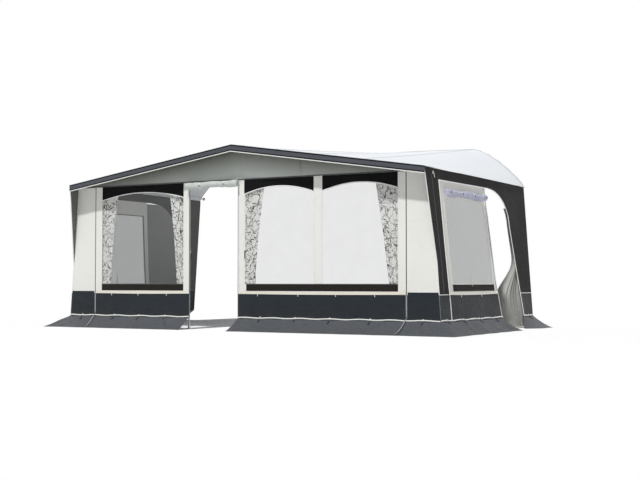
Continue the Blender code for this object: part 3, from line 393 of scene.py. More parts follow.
def patch(points, uv=None, keep=None, wrap=False):
    # a grid of points (rows, columns, 3) as quads; wrap closes each row on itself
    rows, columns = points.shape[:2]
    index = np.arange(rows * columns).reshape(rows, columns)
    ring = points
    if wrap:
        index, ring = (np.concatenate((v, v[:, :1]), 1) for v in (index, points))
    if uv is None:
        rise = np.cumsum(np.linalg.norm(np.diff(points, axis=0), axis=2).mean(1))
        run = np.cumsum(np.linalg.norm(np.diff(ring, axis=1), axis=2).max(0))
        uv = np.stack(np.meshgrid(np.append(0, run), np.append(0, rise)), -1)
    low, high = slice(0, -1), slice(1, None)
    corners = ((low, low), (low, high), (high, high), (high, low))
    quads = np.stack([index[c] for c in corners], -1).reshape(-1, 4)
    loops = np.stack([uv[c] for c in corners], -2).reshape(-1, 4, 2)
    if keep is not None:
        quads, loops = quads[keep.reshape(-1)], loops[keep.reshape(-1)]
    return {"points": points.reshape(-1, 3), "quads": quads, "loops": loops}


def newMesh(name, points, corners, sizes, uv):
    # faces of the given sizes out of one list of corners, each corner with its uv
    data = bpy.data.meshes.new(name)
    data.vertices.add(len(points))
    data.vertices.foreach_set("co", points.astype(np.float32).ravel())
    data.loops.add(corners.size)
    data.loops.foreach_set("vertex_index", corners.astype(np.int32).ravel())
    data.polygons.add(len(sizes))
    data.polygons.foreach_set("loop_start", (np.cumsum(sizes) - sizes).astype(np.int32))
    data.update(calc_edges=True)
    data.uv_layers.new(name="UVMap").uv.foreach_set("vector", uv.astype(np.float32).ravel())
    return data


def smoothed(data):
    data.validate()
    data.shade_smooth()
    data.set_sharp_from_angle(angle=sheets["crisp"])
    return data


def readOut(collection, name, width=1, kind=float):
    values = np.empty(len(collection) * width, kind)
    collection.foreach_get(name, values)
    return values.reshape(-1, width) if width > 1 else values


def meshPiece(name, patches, finish, outward=None):
    # patches welded into one mesh: an open sheet faces along outward, a closed body, without outward, faces out
    shifts = np.cumsum([0] + [len(item["points"]) for item in patches])
    quads = np.concatenate([item["quads"] + shift for item, shift in zip(patches, shifts)])
    points, loops = (np.concatenate([item[key] for item in patches]) for key in ("points", "loops"))
    data = newMesh(name, points, quads, np.full(len(quads), 4), loops)
    work = bmesh.new()
    work.from_mesh(data)
    bmesh.ops.remove_doubles(work, verts=work.verts, dist=sheets["weld"])
    bmesh.ops.dissolve_degenerate(work, edges=work.edges, dist=sheets["weld"])
    if outward is None:
        bmesh.ops.recalc_face_normals(work, faces=work.faces)
    elif sum((face.normal * face.calc_area() for face in work.faces), Vector()).dot(Vector(outward)) < 0:
        bmesh.ops.reverse_faces(work, faces=work.faces)
    work.to_mesh(data)
    work.free()
    smoothed(data).materials.append(finishes[finish])
    made = bpy.data.objects.new(name, data)
    bpy.context.scene.collection.objects.link(made)
    return made


def thicken(piece, thickness, side, inner=None):
    # the cloth's other face and the rim between them, both skins moved along the normals of the first;
    # side is -1 to grow inwards, 0 both ways, 1 outwards, and inner the finish of the inner face
    data = piece.data
    count, faces = len(data.vertices), len(data.polygons)
    points, ways = readOut(data.vertices, "co", 3), readOut(data.vertex_normals, "vector", 3)
    used, sizes = readOut(data.loops, "vertex_index", 1, int), readOut(data.polygons, "loop_total", 1, int)
    uv = readOut(data.uv_layers[0].uv, "vector", 2)
    starts = np.cumsum(sizes) - sizes
    owner = np.repeat(np.arange(faces), sizes)
    local = np.arange(len(used)) - starts[owner]
    following = starts[owner] + (local + 1) % sizes[owner]
    mirrored = starts[owner] + sizes[owner] - 1 - local
    ends = used[following]
    key = np.minimum(used, ends) * count + np.maximum(used, ends)
    _, back, uses = np.unique(key, return_inverse=True, return_counts=True)
    rim = np.flatnonzero(uses[back.ravel()] == 1)
    first, second = used[rim], ends[rim]
    rimQuads = np.stack((second, first, first + count, second + count), 1)
    rimUv = np.stack((uv[following[rim]], uv[rim], uv[rim], uv[following[rim]]), 1).reshape(-1, 2)
    skins = [points + ways * thickness * (side + 1) / 2, points + ways * thickness * (side - 1) / 2]
    shell = newMesh(piece.name, np.concatenate(skins), np.concatenate((used, used[mirrored] + count, rimQuads.ravel())),
                    np.concatenate((sizes, sizes, np.full(len(rim), 4))), np.concatenate((uv, uv[mirrored], rimUv)))
    shell.materials.append(data.materials[0])
    if inner:
        shell.materials.append(finishes[inner])
        shell.polygons.foreach_set("material_index", np.repeat((0, 1, 0), (faces, faces, len(rim))))
    piece.data = smoothed(shell)
    bpy.data.meshes.remove(data)


def place(piece, stands=(), body=root):
    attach(piece, body)
    if stands:
        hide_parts(*stands)
    return piece


def sheetPiece(name, patches, finish, outward, stands=(), thick=sheets["cloth"], side=0, inner=None,
               body=root):
    # a cloth or film with its thickness
    piece = meshPiece(name, patches, finish, outward)
    openArea = sum(face.area for face in piece.data.polygons)
    thicken(piece, thick, side, inner)
    return place(piece, stands, body), openArea


def trimPiece(name, parts, finish, body=root):
    return place(meshPiece(name, parts, finish), (), body)


def clothArea(points):
    # flat area of a grid of points
    a, b, c, d = points[:-1, :-1], points[:-1, 1:], points[1:, 1:], points[1:, :-1]
    halves = [np.linalg.norm(np.cross(p - a, q - a), axis=2) for p, q in ((b, c), (c, d))]
    return float(sum(halves).sum() / 2)


def swept(path, profile, reference):
    # a profile of (across, up) carried along a path, its ends drawn together into caps; across stands at right
    # angles to the path and the reference, up to the path and across
    path = np.asarray(path, float)
    tangent = np.gradient(path, axis=0)
    tangent /= np.maximum(np.linalg.norm(tangent, axis=1, keepdims=True), 1e-12)
    across = np.cross(tangent, np.broadcast_to(reference, path.shape))
    across /= np.maximum(np.linalg.norm(across, axis=1, keepdims=True), 1e-12)
    up = np.cross(across, tangent)
    path, across, up = (np.concatenate((v[:1], v, v[-1:]))[:, None] for v in (path, across, up))
    size = np.ones(len(path))
    size[[0, -1]] = 0
    rings = path + size[:, None, None] * (profile[None, :, :1] * across + profile[None, :, 1:] * up)
    return patch(rings, wrap=True)


def tapeProfile(width, thick):
    # flat band with eased corners
    a, b, e = width / 2, thick / 2, min(width, thick) / 4
    return np.array(((a - e, -b), (a, -b + e), (a, b - e), (a - e, b), (-a + e, b), (-a, b - e), (-a, -b + e),
                     (-a + e, -b)))


def tape(path, width, thick, reference=(0, 0, 1)):
    return swept(path, tapeProfile(width, thick), reference)


def cord(path, radius, reference=(0, 0, 1), sides=8):
    turn = np.arange(sides) * 2 * np.pi / sides
    return swept(path, np.stack((radius * np.cos(turn), radius * np.sin(turn)), -1), reference)


def linePath(start, end, count):
    share = np.linspace(0, 1, count)[:, None]
    return np.asarray(start, float) * (1 - share) + np.asarray(end, float) * share


def fade(distance, reach=0.12):
    # nothing at an edge, full a little way in from it
    return 1 - np.exp(-(distance / reach) ** 2)


def sideHalf(back, height):
    return room["halfGround"] - room["lean"] * height + room["splay"] * back


def cornerX(z):
    return sideHalf(0, z) - 0.0015


def frontRelief(x, z):
    # slack of the front cloth between its seams: a few slow waves, still at every edge and zip
    held = fade(z - room["foot"]) * fade(room["seam"] - z, 0.16) * fade(sideHalf(0, z) - np.abs(x))
    for line in (-room["zipX"], room["zipX"], room["doorLeft"], room["doorRight"]):
        held = held * fade(x - line)
    slow = np.sin(2.3 * x + 1.1 * z + 0.4) * np.sin(2.9 * z + 0.7 * x + 0.9)
    quick = np.sin(7.1 * x + 2.0 * np.sin(1.7 * z)) * np.sin(4.3 * z + 1.0)
    return held * (0.0032 * slow + 0.0014 * quick)


def frontPoints(x, z, off=0.0):
    x, z, off = np.broadcast_arrays(x, z, off)
    return np.stack((x, room["frontY"] - off - frontRelief(x, z), z), -1).astype(float)


def sideAxes(side):
    # foot of the corner, then the ways back, up and out of the leaning side wall
    up = np.array((-side * room["lean"], 0.0, 1.0))
    up /= np.linalg.norm(up)
    back = np.array((side * room["splay"], 1.0, 0.0))
    back -= up * back.dot(up)
    back /= np.linalg.norm(back)
    return np.array((side * room["halfGround"], room["frontY"], 0.0)), back, up, side * np.cross(back, up)


def sideRelief(back, height, side):
    held = fade(back, 0.2) * fade(room["depth"] - back, 0.2) * fade(height - room["foot"]) * fade(bandHead - height)
    return held * 0.0034 * np.sin(2.6 * back + 1.2 * height + side) * np.sin(3.1 * height + 0.5 * back + 0.3)


def sidePoints(side, back, height, off=0.0):
    # back from the front wall, height over the ground, off outwards
    back, height, off = (np.asarray(v, float)[..., None] for v in np.broadcast_arrays(back, height, off))
    start, backWay, up, out = sideAxes(side)
    slope = math.sqrt(1 + room["lean"] ** 2)
    return start + back * backWay + height * slope * up + (off + sideRelief(back, height, side)) * out


roofShape = {
    "frontY": room["frontY"] - room["overhang"], "peak": 2.388, "end": 1.979, "lap": 0.012, "eaveRear": 1.955,
    "top": 2.56, "crown": 0.03, "flatHalf": 2.02, "flatShare": 0.70, "turnIn": 0.25, "turnOut": 0.10,
    "turnLean": 0.35, "sag": 0.020, "ripple": 0.0016,
}
gableHalf = sideHalf(-room["overhang"], roofShape["end"]) + roofShape["lap"]
railHalf = sideHalf(room["depth"], roofShape["eaveRear"]) + roofShape["lap"]


def gableEdge(size):
    # height of the roof's straight front edge, size from 0 at the peak to 1 at its ends
    return roofShape["peak"] + (roofShape["end"] - roofShape["peak"]) * size


def railLine(size):
    # nearly flat to flatShare, then a cubic curve down to the eave
    flat = np.clip(size / roofShape["flatShare"], 0, 1)
    t = np.clip((size - roofShape["flatShare"]) / (1 - roofShape["flatShare"]), 0, 1)[..., None]
    first = np.array((roofShape["flatHalf"], roofShape["top"] - roofShape["crown"]))
    last = np.array((railHalf, roofShape["eaveRear"]))
    pullIn = first + np.array((roofShape["turnIn"], 0))
    pullOut = last + np.array((-roofShape["turnLean"], 1)) * roofShape["turnOut"]
    turn = (1 - t) ** 3 * first + 3 * (1 - t) ** 2 * t * pullIn + 3 * (1 - t) * t * t * pullOut + t**3 * last
    level = np.stack((roofShape["flatHalf"] * flat, roofShape["top"] - roofShape["crown"] * flat * flat), -1)
    return np.where((size <= roofShape["flatShare"])[..., None], level, turn)


def roofPoints(share, y, lift=0.0):
    # straight lines from the gable's edge back to the rail, hanging a little between the poles
    share, y, lift = (np.asarray(v, float) for v in np.broadcast_arrays(share, y, lift))
    size = np.abs(share)
    t = ((y - roofShape["frontY"]) / (room["backY"] - roofShape["frontY"]))[..., None]
    line = np.stack((gableHalf * size, gableEdge(size)), -1) * (1 - t) + railLine(size) * t
    inside = np.sin(np.pi * np.clip((y - room["frameY"]) / (room["backY"] - room["frameY"]), 0, 1))
    hang = roofShape["sag"] * inside * np.sin(np.pi * np.clip(size / 0.95, 0, 1)) ** 2
    ripple = roofShape["ripple"] * np.sin(9 * size + 2.2 * y) * inside * fade(1 - size, 0.08)
    return np.stack((np.sign(share + 1e-15) * line[..., 0], y, line[..., 1] - hang + ripple + lift), -1)


def roofShares(pitch):
    return spaced((-1, -roofShape["flatShare"], 0, roofShape["flatShare"], 1), pitch)


def roofHeightAt(x, y):
    # height of the roof over any x at one y
    line = roofPoints(roofShares(0.005), y)
    return np.interp(x, line[:, 0], line[:, 2])


roofPiece = {
    "columns": 0.02, "rows": 0.06, "thick": 0.0018, "flat": (6.10, 3.32), "lift": 0.0006, "tape": 0.0012,
    "seams": (0.235, 0.47, 0.705, -0.235, -0.47, -0.705, 0.0), "seamWidth": 0.022,
    "edges": ((roofShape["frontY"] + 0.018, 0.03), (room["backY"] - 0.022, 0.035)),
}
share = roofShares(roofPiece["columns"])
along = spaced((roofShape["frontY"], room["frontY"], room["frameY"], room["backY"]), roofPiece["rows"])
grid = roofPoints(share, along[:, None])
roof, _ = sheetPiece("roof_cloth", [patch(grid)], "roof", (0, 0, 1), ("roof",), roofPiece["thick"], -1)
seamLines = [(roofPoints(seam, along, roofPiece["lift"]), roofPiece["seamWidth"]) for seam in roofPiece["seams"]]
seamLines += [(roofPoints(share, y, roofPiece["lift"]), width) for y, width in roofPiece["edges"]]
roofSeams = trimPiece("roof_seams", [tape(line, width, roofPiece["tape"]) for line, width in seamLines], "roofSeam")

fasciaPiece = {
    "drop": 0.085, "thick": 0.0022, "pitch": 0.035, "off": 0.0012, "piping": 0.0058, "wave": 0.0025,
    "flat": (5.53, 0.088), "trims": ((0.008, 0.016), (0.0745, 0.019)), "trimThick": 0.0014,
}


def fasciaPoints(x, down, off=0.0):
    # hangs down from the roof's front edge; the free lower edge waves a little
    wave = fasciaPiece["wave"] * (down / fasciaPiece["drop"]) * np.sin(11 * x + 1.3 * np.sin(3 * x))
    front = roofShape["frontY"] - fasciaPiece["off"] - off - np.abs(wave)
    return np.stack(np.broadcast_arrays(x, front, gableEdge(np.abs(x) / gableHalf) - down), -1)


fasciaX = spaced((-gableHalf, 0, gableHalf), fasciaPiece["pitch"])
grid = fasciaPoints(fasciaX, rowsBetween(0, fasciaPiece["drop"], 6))
fascia, _ = sheetPiece("fascia_cloth", [patch(grid)], "fascia", (0, -1, 0), ("fascia",),
                       fasciaPiece["thick"], 1)
trims = [tape(fasciaPoints(fasciaX, middle, fasciaPiece["thick"] + 0.0006), fasciaPiece["trimThick"], width)
         for middle, width in fasciaPiece["trims"]]
edge = fasciaPoints(fasciaX, fasciaPiece["drop"] + 0.002, fasciaPiece["thick"] / 2 + 0.003)
fasciaTrims = [trimPiece("fascia_trim", trims, "trim"),
               trimPiece("fascia_piping", [cord(edge, fasciaPiece["piping"], sides=10)], "piping")]

gablePiece = {
    "seams": (-1.75, -0.93, 0.03, 0.93, 1.75), "rows": 11, "pitch": 0.04, "bend": 2.3, "headGap": 0.0040,
    "slack": 0.0022, "flat": (5.44, 0.43), "seamWidth": 0.016, "seamThick": 0.0012, "seamOff": 0.0034,
}
gableX = spaced((-cornerX(room["seam"]), -gablePiece["bend"], 0, gablePiece["bend"], cornerX(room["seam"])),
                gablePiece["pitch"])
gableFoot = room["seam"] + room["gap"]
gableHead = np.maximum(roofHeightAt(gableX, room["frontY"]) - gablePiece["headGap"], gableFoot + 0.001)
gableZ = rowsBetween(gableFoot, gableHead, gablePiece["rows"])
slack = np.sin(np.pi * np.linspace(0, 1, len(gableZ)))[:, None] * np.sin(5.0 * gableX)
slack = gablePiece["slack"] * slack * fade(2.6 - np.abs(gableX), 0.2)
grid = np.stack(np.broadcast_arrays(gableX, room["frontY"] - slack, gableZ), -1)
gable, _ = sheetPiece("gable_cloth", [patch(grid)], "gable", (0, -1, 0), ("gable_panel",))
ribs = []
for x in gablePiece["seams"]:
    y, top = room["frontY"] - gablePiece["seamOff"], float(roofHeightAt(x, room["frontY"])) - 0.006
    ribs.append(tape(linePath((x, y, room["seam"] + 0.004), (x, y, top), 6), gablePiece["seamWidth"],
                     gablePiece["seamThick"], (0, -1, 0)))
gableSeams = trimPiece("gable_seams", ribs, "gable")
seamEnd = sideHalf(0, room["seam"]) - 0.004
seamLine = frontPoints(spaced((-seamEnd, seamEnd), 0.1), room["seam"], 0.0046)
trimPiece("gable_hem", [tape(seamLine, 0.002, 0.014)], "zipTape")
print("roof, fascia and gable made")


def archLine(x):
    # the window heads: a shallow parabola over each window, level between them
    line = np.full_like(x, arch["foot"])
    for start, end in windows.values():
        middle, half = (start + end) / 2, (end - start) / 2
        inside = np.clip(1 - ((x - middle) / half) ** 2, 0, 1)
        line = line + arch["rise"] * inside * ((x >= start) & (x <= end))
    return line


def frontSheet(name, x, z, off, finish, stands=(), thick=sheets["cloth"], shape=frontPoints):
    points = shape(x, z, off)
    piece, _ = sheetPiece(name, [patch(points)], finish, (0, -1, 0), stands, thick)
    return piece, clothArea(points)


def frontTape(x, marks, pitch, off, width, thick):
    # a band standing upright on the front wall
    return tape(frontPoints(x, spaced(marks, pitch), off), width, thick, (0, -1, 0))


wallPiece = {"pitch": 0.035, "rows": (4, 26, 6)}
wallRuns = {
    "wall_left": (-room["zipX"] + room["gap"] / 2, room["doorLeft"], ("left",)),
    "wall_right": (room["doorRight"], room["zipX"] - room["gap"] / 2, ("middle", "right")),
}
for name, (start, end, names) in wallRuns.items():
    # columns keep the window edges, rows bend to follow the window heads
    x = spaced([start] + [edge for window in names for edge in windows[window]] + [end], wallPiece["pitch"])
    below, beside, above = wallPiece["rows"]
    head = archLine(x)
    z = np.concatenate((rowsBetween(room["hem"], sill["head"] + 0 * x, below)[:-1],
                        rowsBetween(sill["head"], head, beside)[:-1], rowsBetween(head, room["seam"], above)))
    middles, row = (x[:-1] + x[1:]) / 2, np.arange(len(z) - 1)[:, None]
    inWindow = sum((middles > windows[window][0]) & (middles < windows[window][1]) for window in names) > 0
    grid = frontPoints(x, z)
    cut = patch(grid, grid[..., ::2], ~((row >= below) & (row < below + beside) & inWindow))
    wall, _ = sheetPiece(f"{name}_cloth", [cut], "wall", (0, -1, 0), (name,))
    flat = (end - start, room["seam"] - room["hem"])

# bands as their distance off the wall cloth, width and thickness
overlayPiece = {
    "valanceGap": 0.0075, "binding": 0.0068, "sillEdge": (0.0016, 0.010), "filmLap": 0.015, "bandPitch": 0.08,
    "bound": (overlayOff + 0.0002, 0.012, 0.0014), "boundAside": 0.006, "strip": (overlayOff + 0.0004, 0.022, 0.0018),
    "stripAside": 0.011, "stripHeadGap": 0.012,
}
for name, (start, end) in windows.items():
    x = spaced((start, end), wallPiece["pitch"])
    z = rowsBetween(archLine(x), room["seam"] - overlayPiece["valanceGap"], 5)
    valance, area = frontSheet(f"valance_{name}_cloth", x, z, overlayOff, "valance",
                               (f"valance_{name}",), sheets["overlay"])
    line = frontPoints(x, archLine(x) - 0.002, overlayOff + 0.001)
    binding = trimPiece(f"arch_binding_{name}", [cord(line, overlayPiece["binding"], (0, 1, 0), 10)], "piping")

sillRuns = {"left": windows["left"], "right": (windows["middle"][0] + sill["start"], windows["right"][1])}
for name, (start, end) in sillRuns.items():
    x = spaced((start, end), wallPiece["pitch"])
    cloth, _ = frontSheet(f"sill_{name}_cloth", x, rowsBetween(sill["foot"], sill["head"], 4), overlayOff, "sill",
                          (f"sill_{name}",), sheets["overlay"])
    line = frontPoints(x, sill["head"] - 0.003, overlayOff + 0.0014)
    top = trimPiece(f"sill_{name}_edge", [tape(line, *overlayPiece["sillEdge"])], "zipTape")

lap = overlayPiece["filmLap"]
filmRuns = {"left": windows["left"], "right": (windows["middle"][0], windows["right"][1])}
for name, (start, end) in filmRuns.items():
    x = spaced((start - lap, end + lap), 0.04)
    z = spaced((sill["head"] - lap, arch["foot"] + arch["rise"] + lap), 0.05)
    film, _ = frontSheet(f"window_{name}_film", x, z[:, None], filmOff, "film",
                         (f"window_film_{name}",), sheets["film"])

# bound edges down both sides of each window, and the stiff strips beside the door
aside, pitch = overlayPiece["boundAside"], overlayPiece["bandPitch"]
strips = [frontTape(x, (sill["head"], arch["foot"]), pitch, *overlayPiece["bound"])
          for start, end in windows.values() for x in (start - aside, end + aside)]
aside, stripMarks = overlayPiece["stripAside"], (room["hem"] + 0.002, room["seam"] - overlayPiece["stripHeadGap"])
strips += [frontTape(x, stripMarks, pitch, *overlayPiece["strip"])
           for x in (room["doorLeft"] - aside, room["doorRight"] + aside)]
trimPiece("wall_bindings", strips, "wall")

# cream hem strip along the foot of the wall cloth, sagging a little between its toggles
hemPiece = {"height": 0.036, "sag": 0.010, "inset": 0.012, "lift": 0.006}
hemRuns = {"left": (-room["zipX"] + hemPiece["inset"], room["doorLeft"]),
           "right": (room["doorRight"], room["zipX"] - hemPiece["inset"])}
for name, (start, end) in hemRuns.items():
    x = spaced((start, end), 0.04)
    sag = hemPiece["sag"] * np.sin(np.pi * (x - start) / (end - start)) ** 0.6
    low = room["hem"] + hemPiece["lift"] - sag
    hem, _ = frontSheet(f"hem_{name}_cloth", x, rowsBetween(low, low + hemPiece["height"], 3),
                        overlayOff + 0.0016 + 0.0014 * np.sin(9 * x), "hem", thick=sheets["hem"])
print("front walls made")

for name, side in sides:
    z = spaced((room["hem"], room["seam"]), 0.05)[:, None]
    start = room["zipX"] + room["gap"] / 2
    x = side * (start + (cornerX(z) - start) * np.linspace(0, 1, 9))
    corner, area = frontSheet(f"corner_{name}_cloth", x, z, 0.0, "wall", (f"corner_panel_{name}",))

mudPiece = {"ripple": 0.0048, "pitch": 0.42, "foldStart": (-2.81, 0.455), "foldEnd": (-2.43, 0.27),
            "foldHeight": 0.017, "foldWidth": 0.018, "lapFlat": (0.41, 0.036)}


def mudPoints(x, z, off=0.0):
    # the mud band is pulled in at each peg, so it ripples along its foot
    x, z, off = np.broadcast_arrays(x, z, off)
    low = np.clip((room["hem"] - z) / (room["hem"] - room["foot"]), 0, 1)
    edges = fade(np.abs(x) - room["zipX"], 0.08) * fade(sideHalf(0, z) - np.abs(x), 0.08)
    edges = edges * fade(x - room["doorLeft"], 0.08) * fade(x - room["doorRight"], 0.08)
    ripple = mudPiece["ripple"] * low * edges * np.sin(2 * np.pi * x / mudPiece["pitch"] + 0.7) * (1 - low ** 6)
    made = frontPoints(x, z, off)
    # a slanting fold from the left corner down to its zip: distance to the line between the two points
    start = np.array(mudPiece["foldStart"])
    way = np.array(mudPiece["foldEnd"]) - start
    reach = np.clip(((x - start[0]) * way[0] + (z - start[1]) * way[1]) / way.dot(way), 0, 1)
    away = np.hypot(x - start[0] - reach * way[0], z - start[1] - reach * way[1])
    fold = mudPiece["foldHeight"] * np.exp(-away / mudPiece["foldWidth"]) * np.sin(np.pi * reach) ** 0.5
    made[..., 1] -= ripple + fold
    return made


for name, side in sides:
    door = doors[name]
    z = rowsBetween(room["foot"], room["hem"] - room["gap"], 25)
    across = spaced((0, abs(room["zipX"] * side - door) / abs(side * 2.83 - door), 1), 0.005)
    band, area = frontSheet(f"mud_band_{name}_cloth", door + (side * cornerX(z) - door) * across, z, 0.0, "mud",
                            (f"mud_band_{name}",), shape=mudPoints)
    # the band's head stands higher over the corner panels
    z = np.linspace(room["hem"] - 0.006, room["hem"] + 0.030, 3)[:, None]
    x = side * (room["zipX"] + 0.016 + (cornerX(z) - room["zipX"] - 0.017) * np.linspace(0, 1, 12))
    strip, _ = frontSheet(f"mud_lap_{name}", x, z, overlayOff + 0.0004, "mud",
                          thick=sheets["overlay"])
print("corner panels and mud bands made")

stripePiece = {"head": 0.19, "foot": 0.30, "wingFoot": 0.86}
panelPiece = {"head": 1.58, "mid": 1.75, "foot": 1.88, "knee": 0.65, "columns": (3, 26, 5)}
doorArch = {"start": 1.70, "spring": 2.35, "foot": 2.66, "springHeight": 1.39}
sideWindow = {
    "head": 1.62, "foot": 0.60, "frontHead": 0.31, "frontFoot": 0.40, "rearHead": 1.51, "rearFoot": 1.665,
    "lap": 0.015, "pucker": 0.004, "puckers": 15, "puckerReach": 0.16, "sillEdge": (0.0016, 0.009),
    "bound": (overlayOff + 0.0002, 0.030, 0.0016),
}
sideFlats = {
    "surround": (3.2, 1.55), "mudFront": (0.3, 0.311), "mudRear": (0.5, 0.311), "panel": (1.55, 1.40),
    "mudPanel": (1.60, 0.311), "film": (1.30, 1.06), "sill": (1.25, 0.091), "hem": (1.55, 0.037),
    "door": (0.85, 1.40), "mudDoor": (0.85, 0.311),
}
sideColumns = {"mudFront": 6, "mudRear": 8, "mudPanel": 24, "film": 60, "sill": 22, "hem": 30, "door": 14}


def between(height, low, high, lowValue, highValue):
    return lowValue + (highValue - lowValue) * (height - low) / (high - low)


def stripeFront(height):
    # the corner itself, and above the wing's foot the slanting edge out to the fascia
    foot, head = stripePiece["wingFoot"], roofShape["end"] - 0.0038
    return np.where(height > foot, between(height, foot, head, 0, -room["overhang"]), 0.0)


def stripeRear(height):
    return between(height, room["foot"], bandHead, stripePiece["foot"], stripePiece["head"])


def panelFront(height):
    return stripeRear(height) + room["gap"]


def panelRear(height):
    return np.interp(height, (room["foot"], panelPiece["knee"], bandHead),
                     (panelPiece["foot"], panelPiece["mid"], panelPiece["head"]))


def windowFront(height):
    return between(height, sideWindow["foot"], sideWindow["head"], sideWindow["frontFoot"], sideWindow["frontHead"])


def windowRear(height):
    return between(height, sideWindow["foot"], sideWindow["head"], sideWindow["rearFoot"], sideWindow["rearHead"])


def archBack(height):
    # straight up to the spring, then a quarter ellipse to the head
    low = between(height, room["foot"], doorArch["springHeight"], doorArch["foot"], doorArch["spring"])
    rise = np.clip((height - doorArch["springHeight"]) / (bandHead - doorArch["springHeight"]), 0, 1)
    turn = doorArch["start"] + (doorArch["spring"] - doorArch["start"]) * np.sqrt(1 - rise * rise)
    return np.where(height < doorArch["springHeight"], low, turn)


def wallEnd(height):
    return np.full_like(height, room["depth"])


def ruled(side, first, second, heights, count, off=0.0):
    # straight across from one edge to the other at each height, in count columns of points
    h = np.asarray(heights, float)[:, None]
    return patch(sidePoints(side, first(h) + (second(h) - first(h)) * np.linspace(0, 1, count), h, off))


def sideTape(side, back, height, off, width, thick):
    # a band lying flat on the side wall
    return tape(sidePoints(side, back, height, off), width, thick, (side, 0, 0))


def sideSheet(name, side, patches, finish, stands=(), thick=sheets["cloth"], inner=None):
    piece, area = sheetPiece(name, patches, finish, (side, 0, 0), stands, thick, inner=inner)


turn = np.sin(np.linspace(0, np.pi / 2, 13))
archHeights = np.append(spaced((room["foot"], room["hem"], doorArch["springHeight"]), 0.07)[:-1],
                        doorArch["springHeight"] + (bandHead - doorArch["springHeight"]) * turn)
archUpper = archHeights[archHeights >= room["hem"] - 1e-9]
upperHeights = spaced((room["hem"], stripePiece["wingFoot"], bandHead), 0.06)
lowerHeights = np.linspace(room["foot"], room["hem"], 7)
frontEave, rearEave = (float(roofPoints(1.0, y)[2]) - 0.0042 for y in (roofShape["frontY"], room["backY"]))
topBacks = spaced((float(stripeFront(np.array(bandHead))), stripePiece["head"], doorArch["start"], room["depth"]), 0.06)
stripeCount = int(np.argmin(np.abs(topBacks - stripePiece["head"]))) + 1
rearCount = len(topBacks) - int(np.argmin(np.abs(topBacks - doorArch["start"])))
topShare = (topBacks - topBacks[0]) / (topBacks[-1] - topBacks[0])
topLine = -room["overhang"] + topShare * (room["depth"] + room["overhang"])
panelHeights = spaced((room["hem"], sideWindow["foot"], panelPiece["knee"], sideWindow["head"],
                       bandHead - room["gap"]), 0.05)
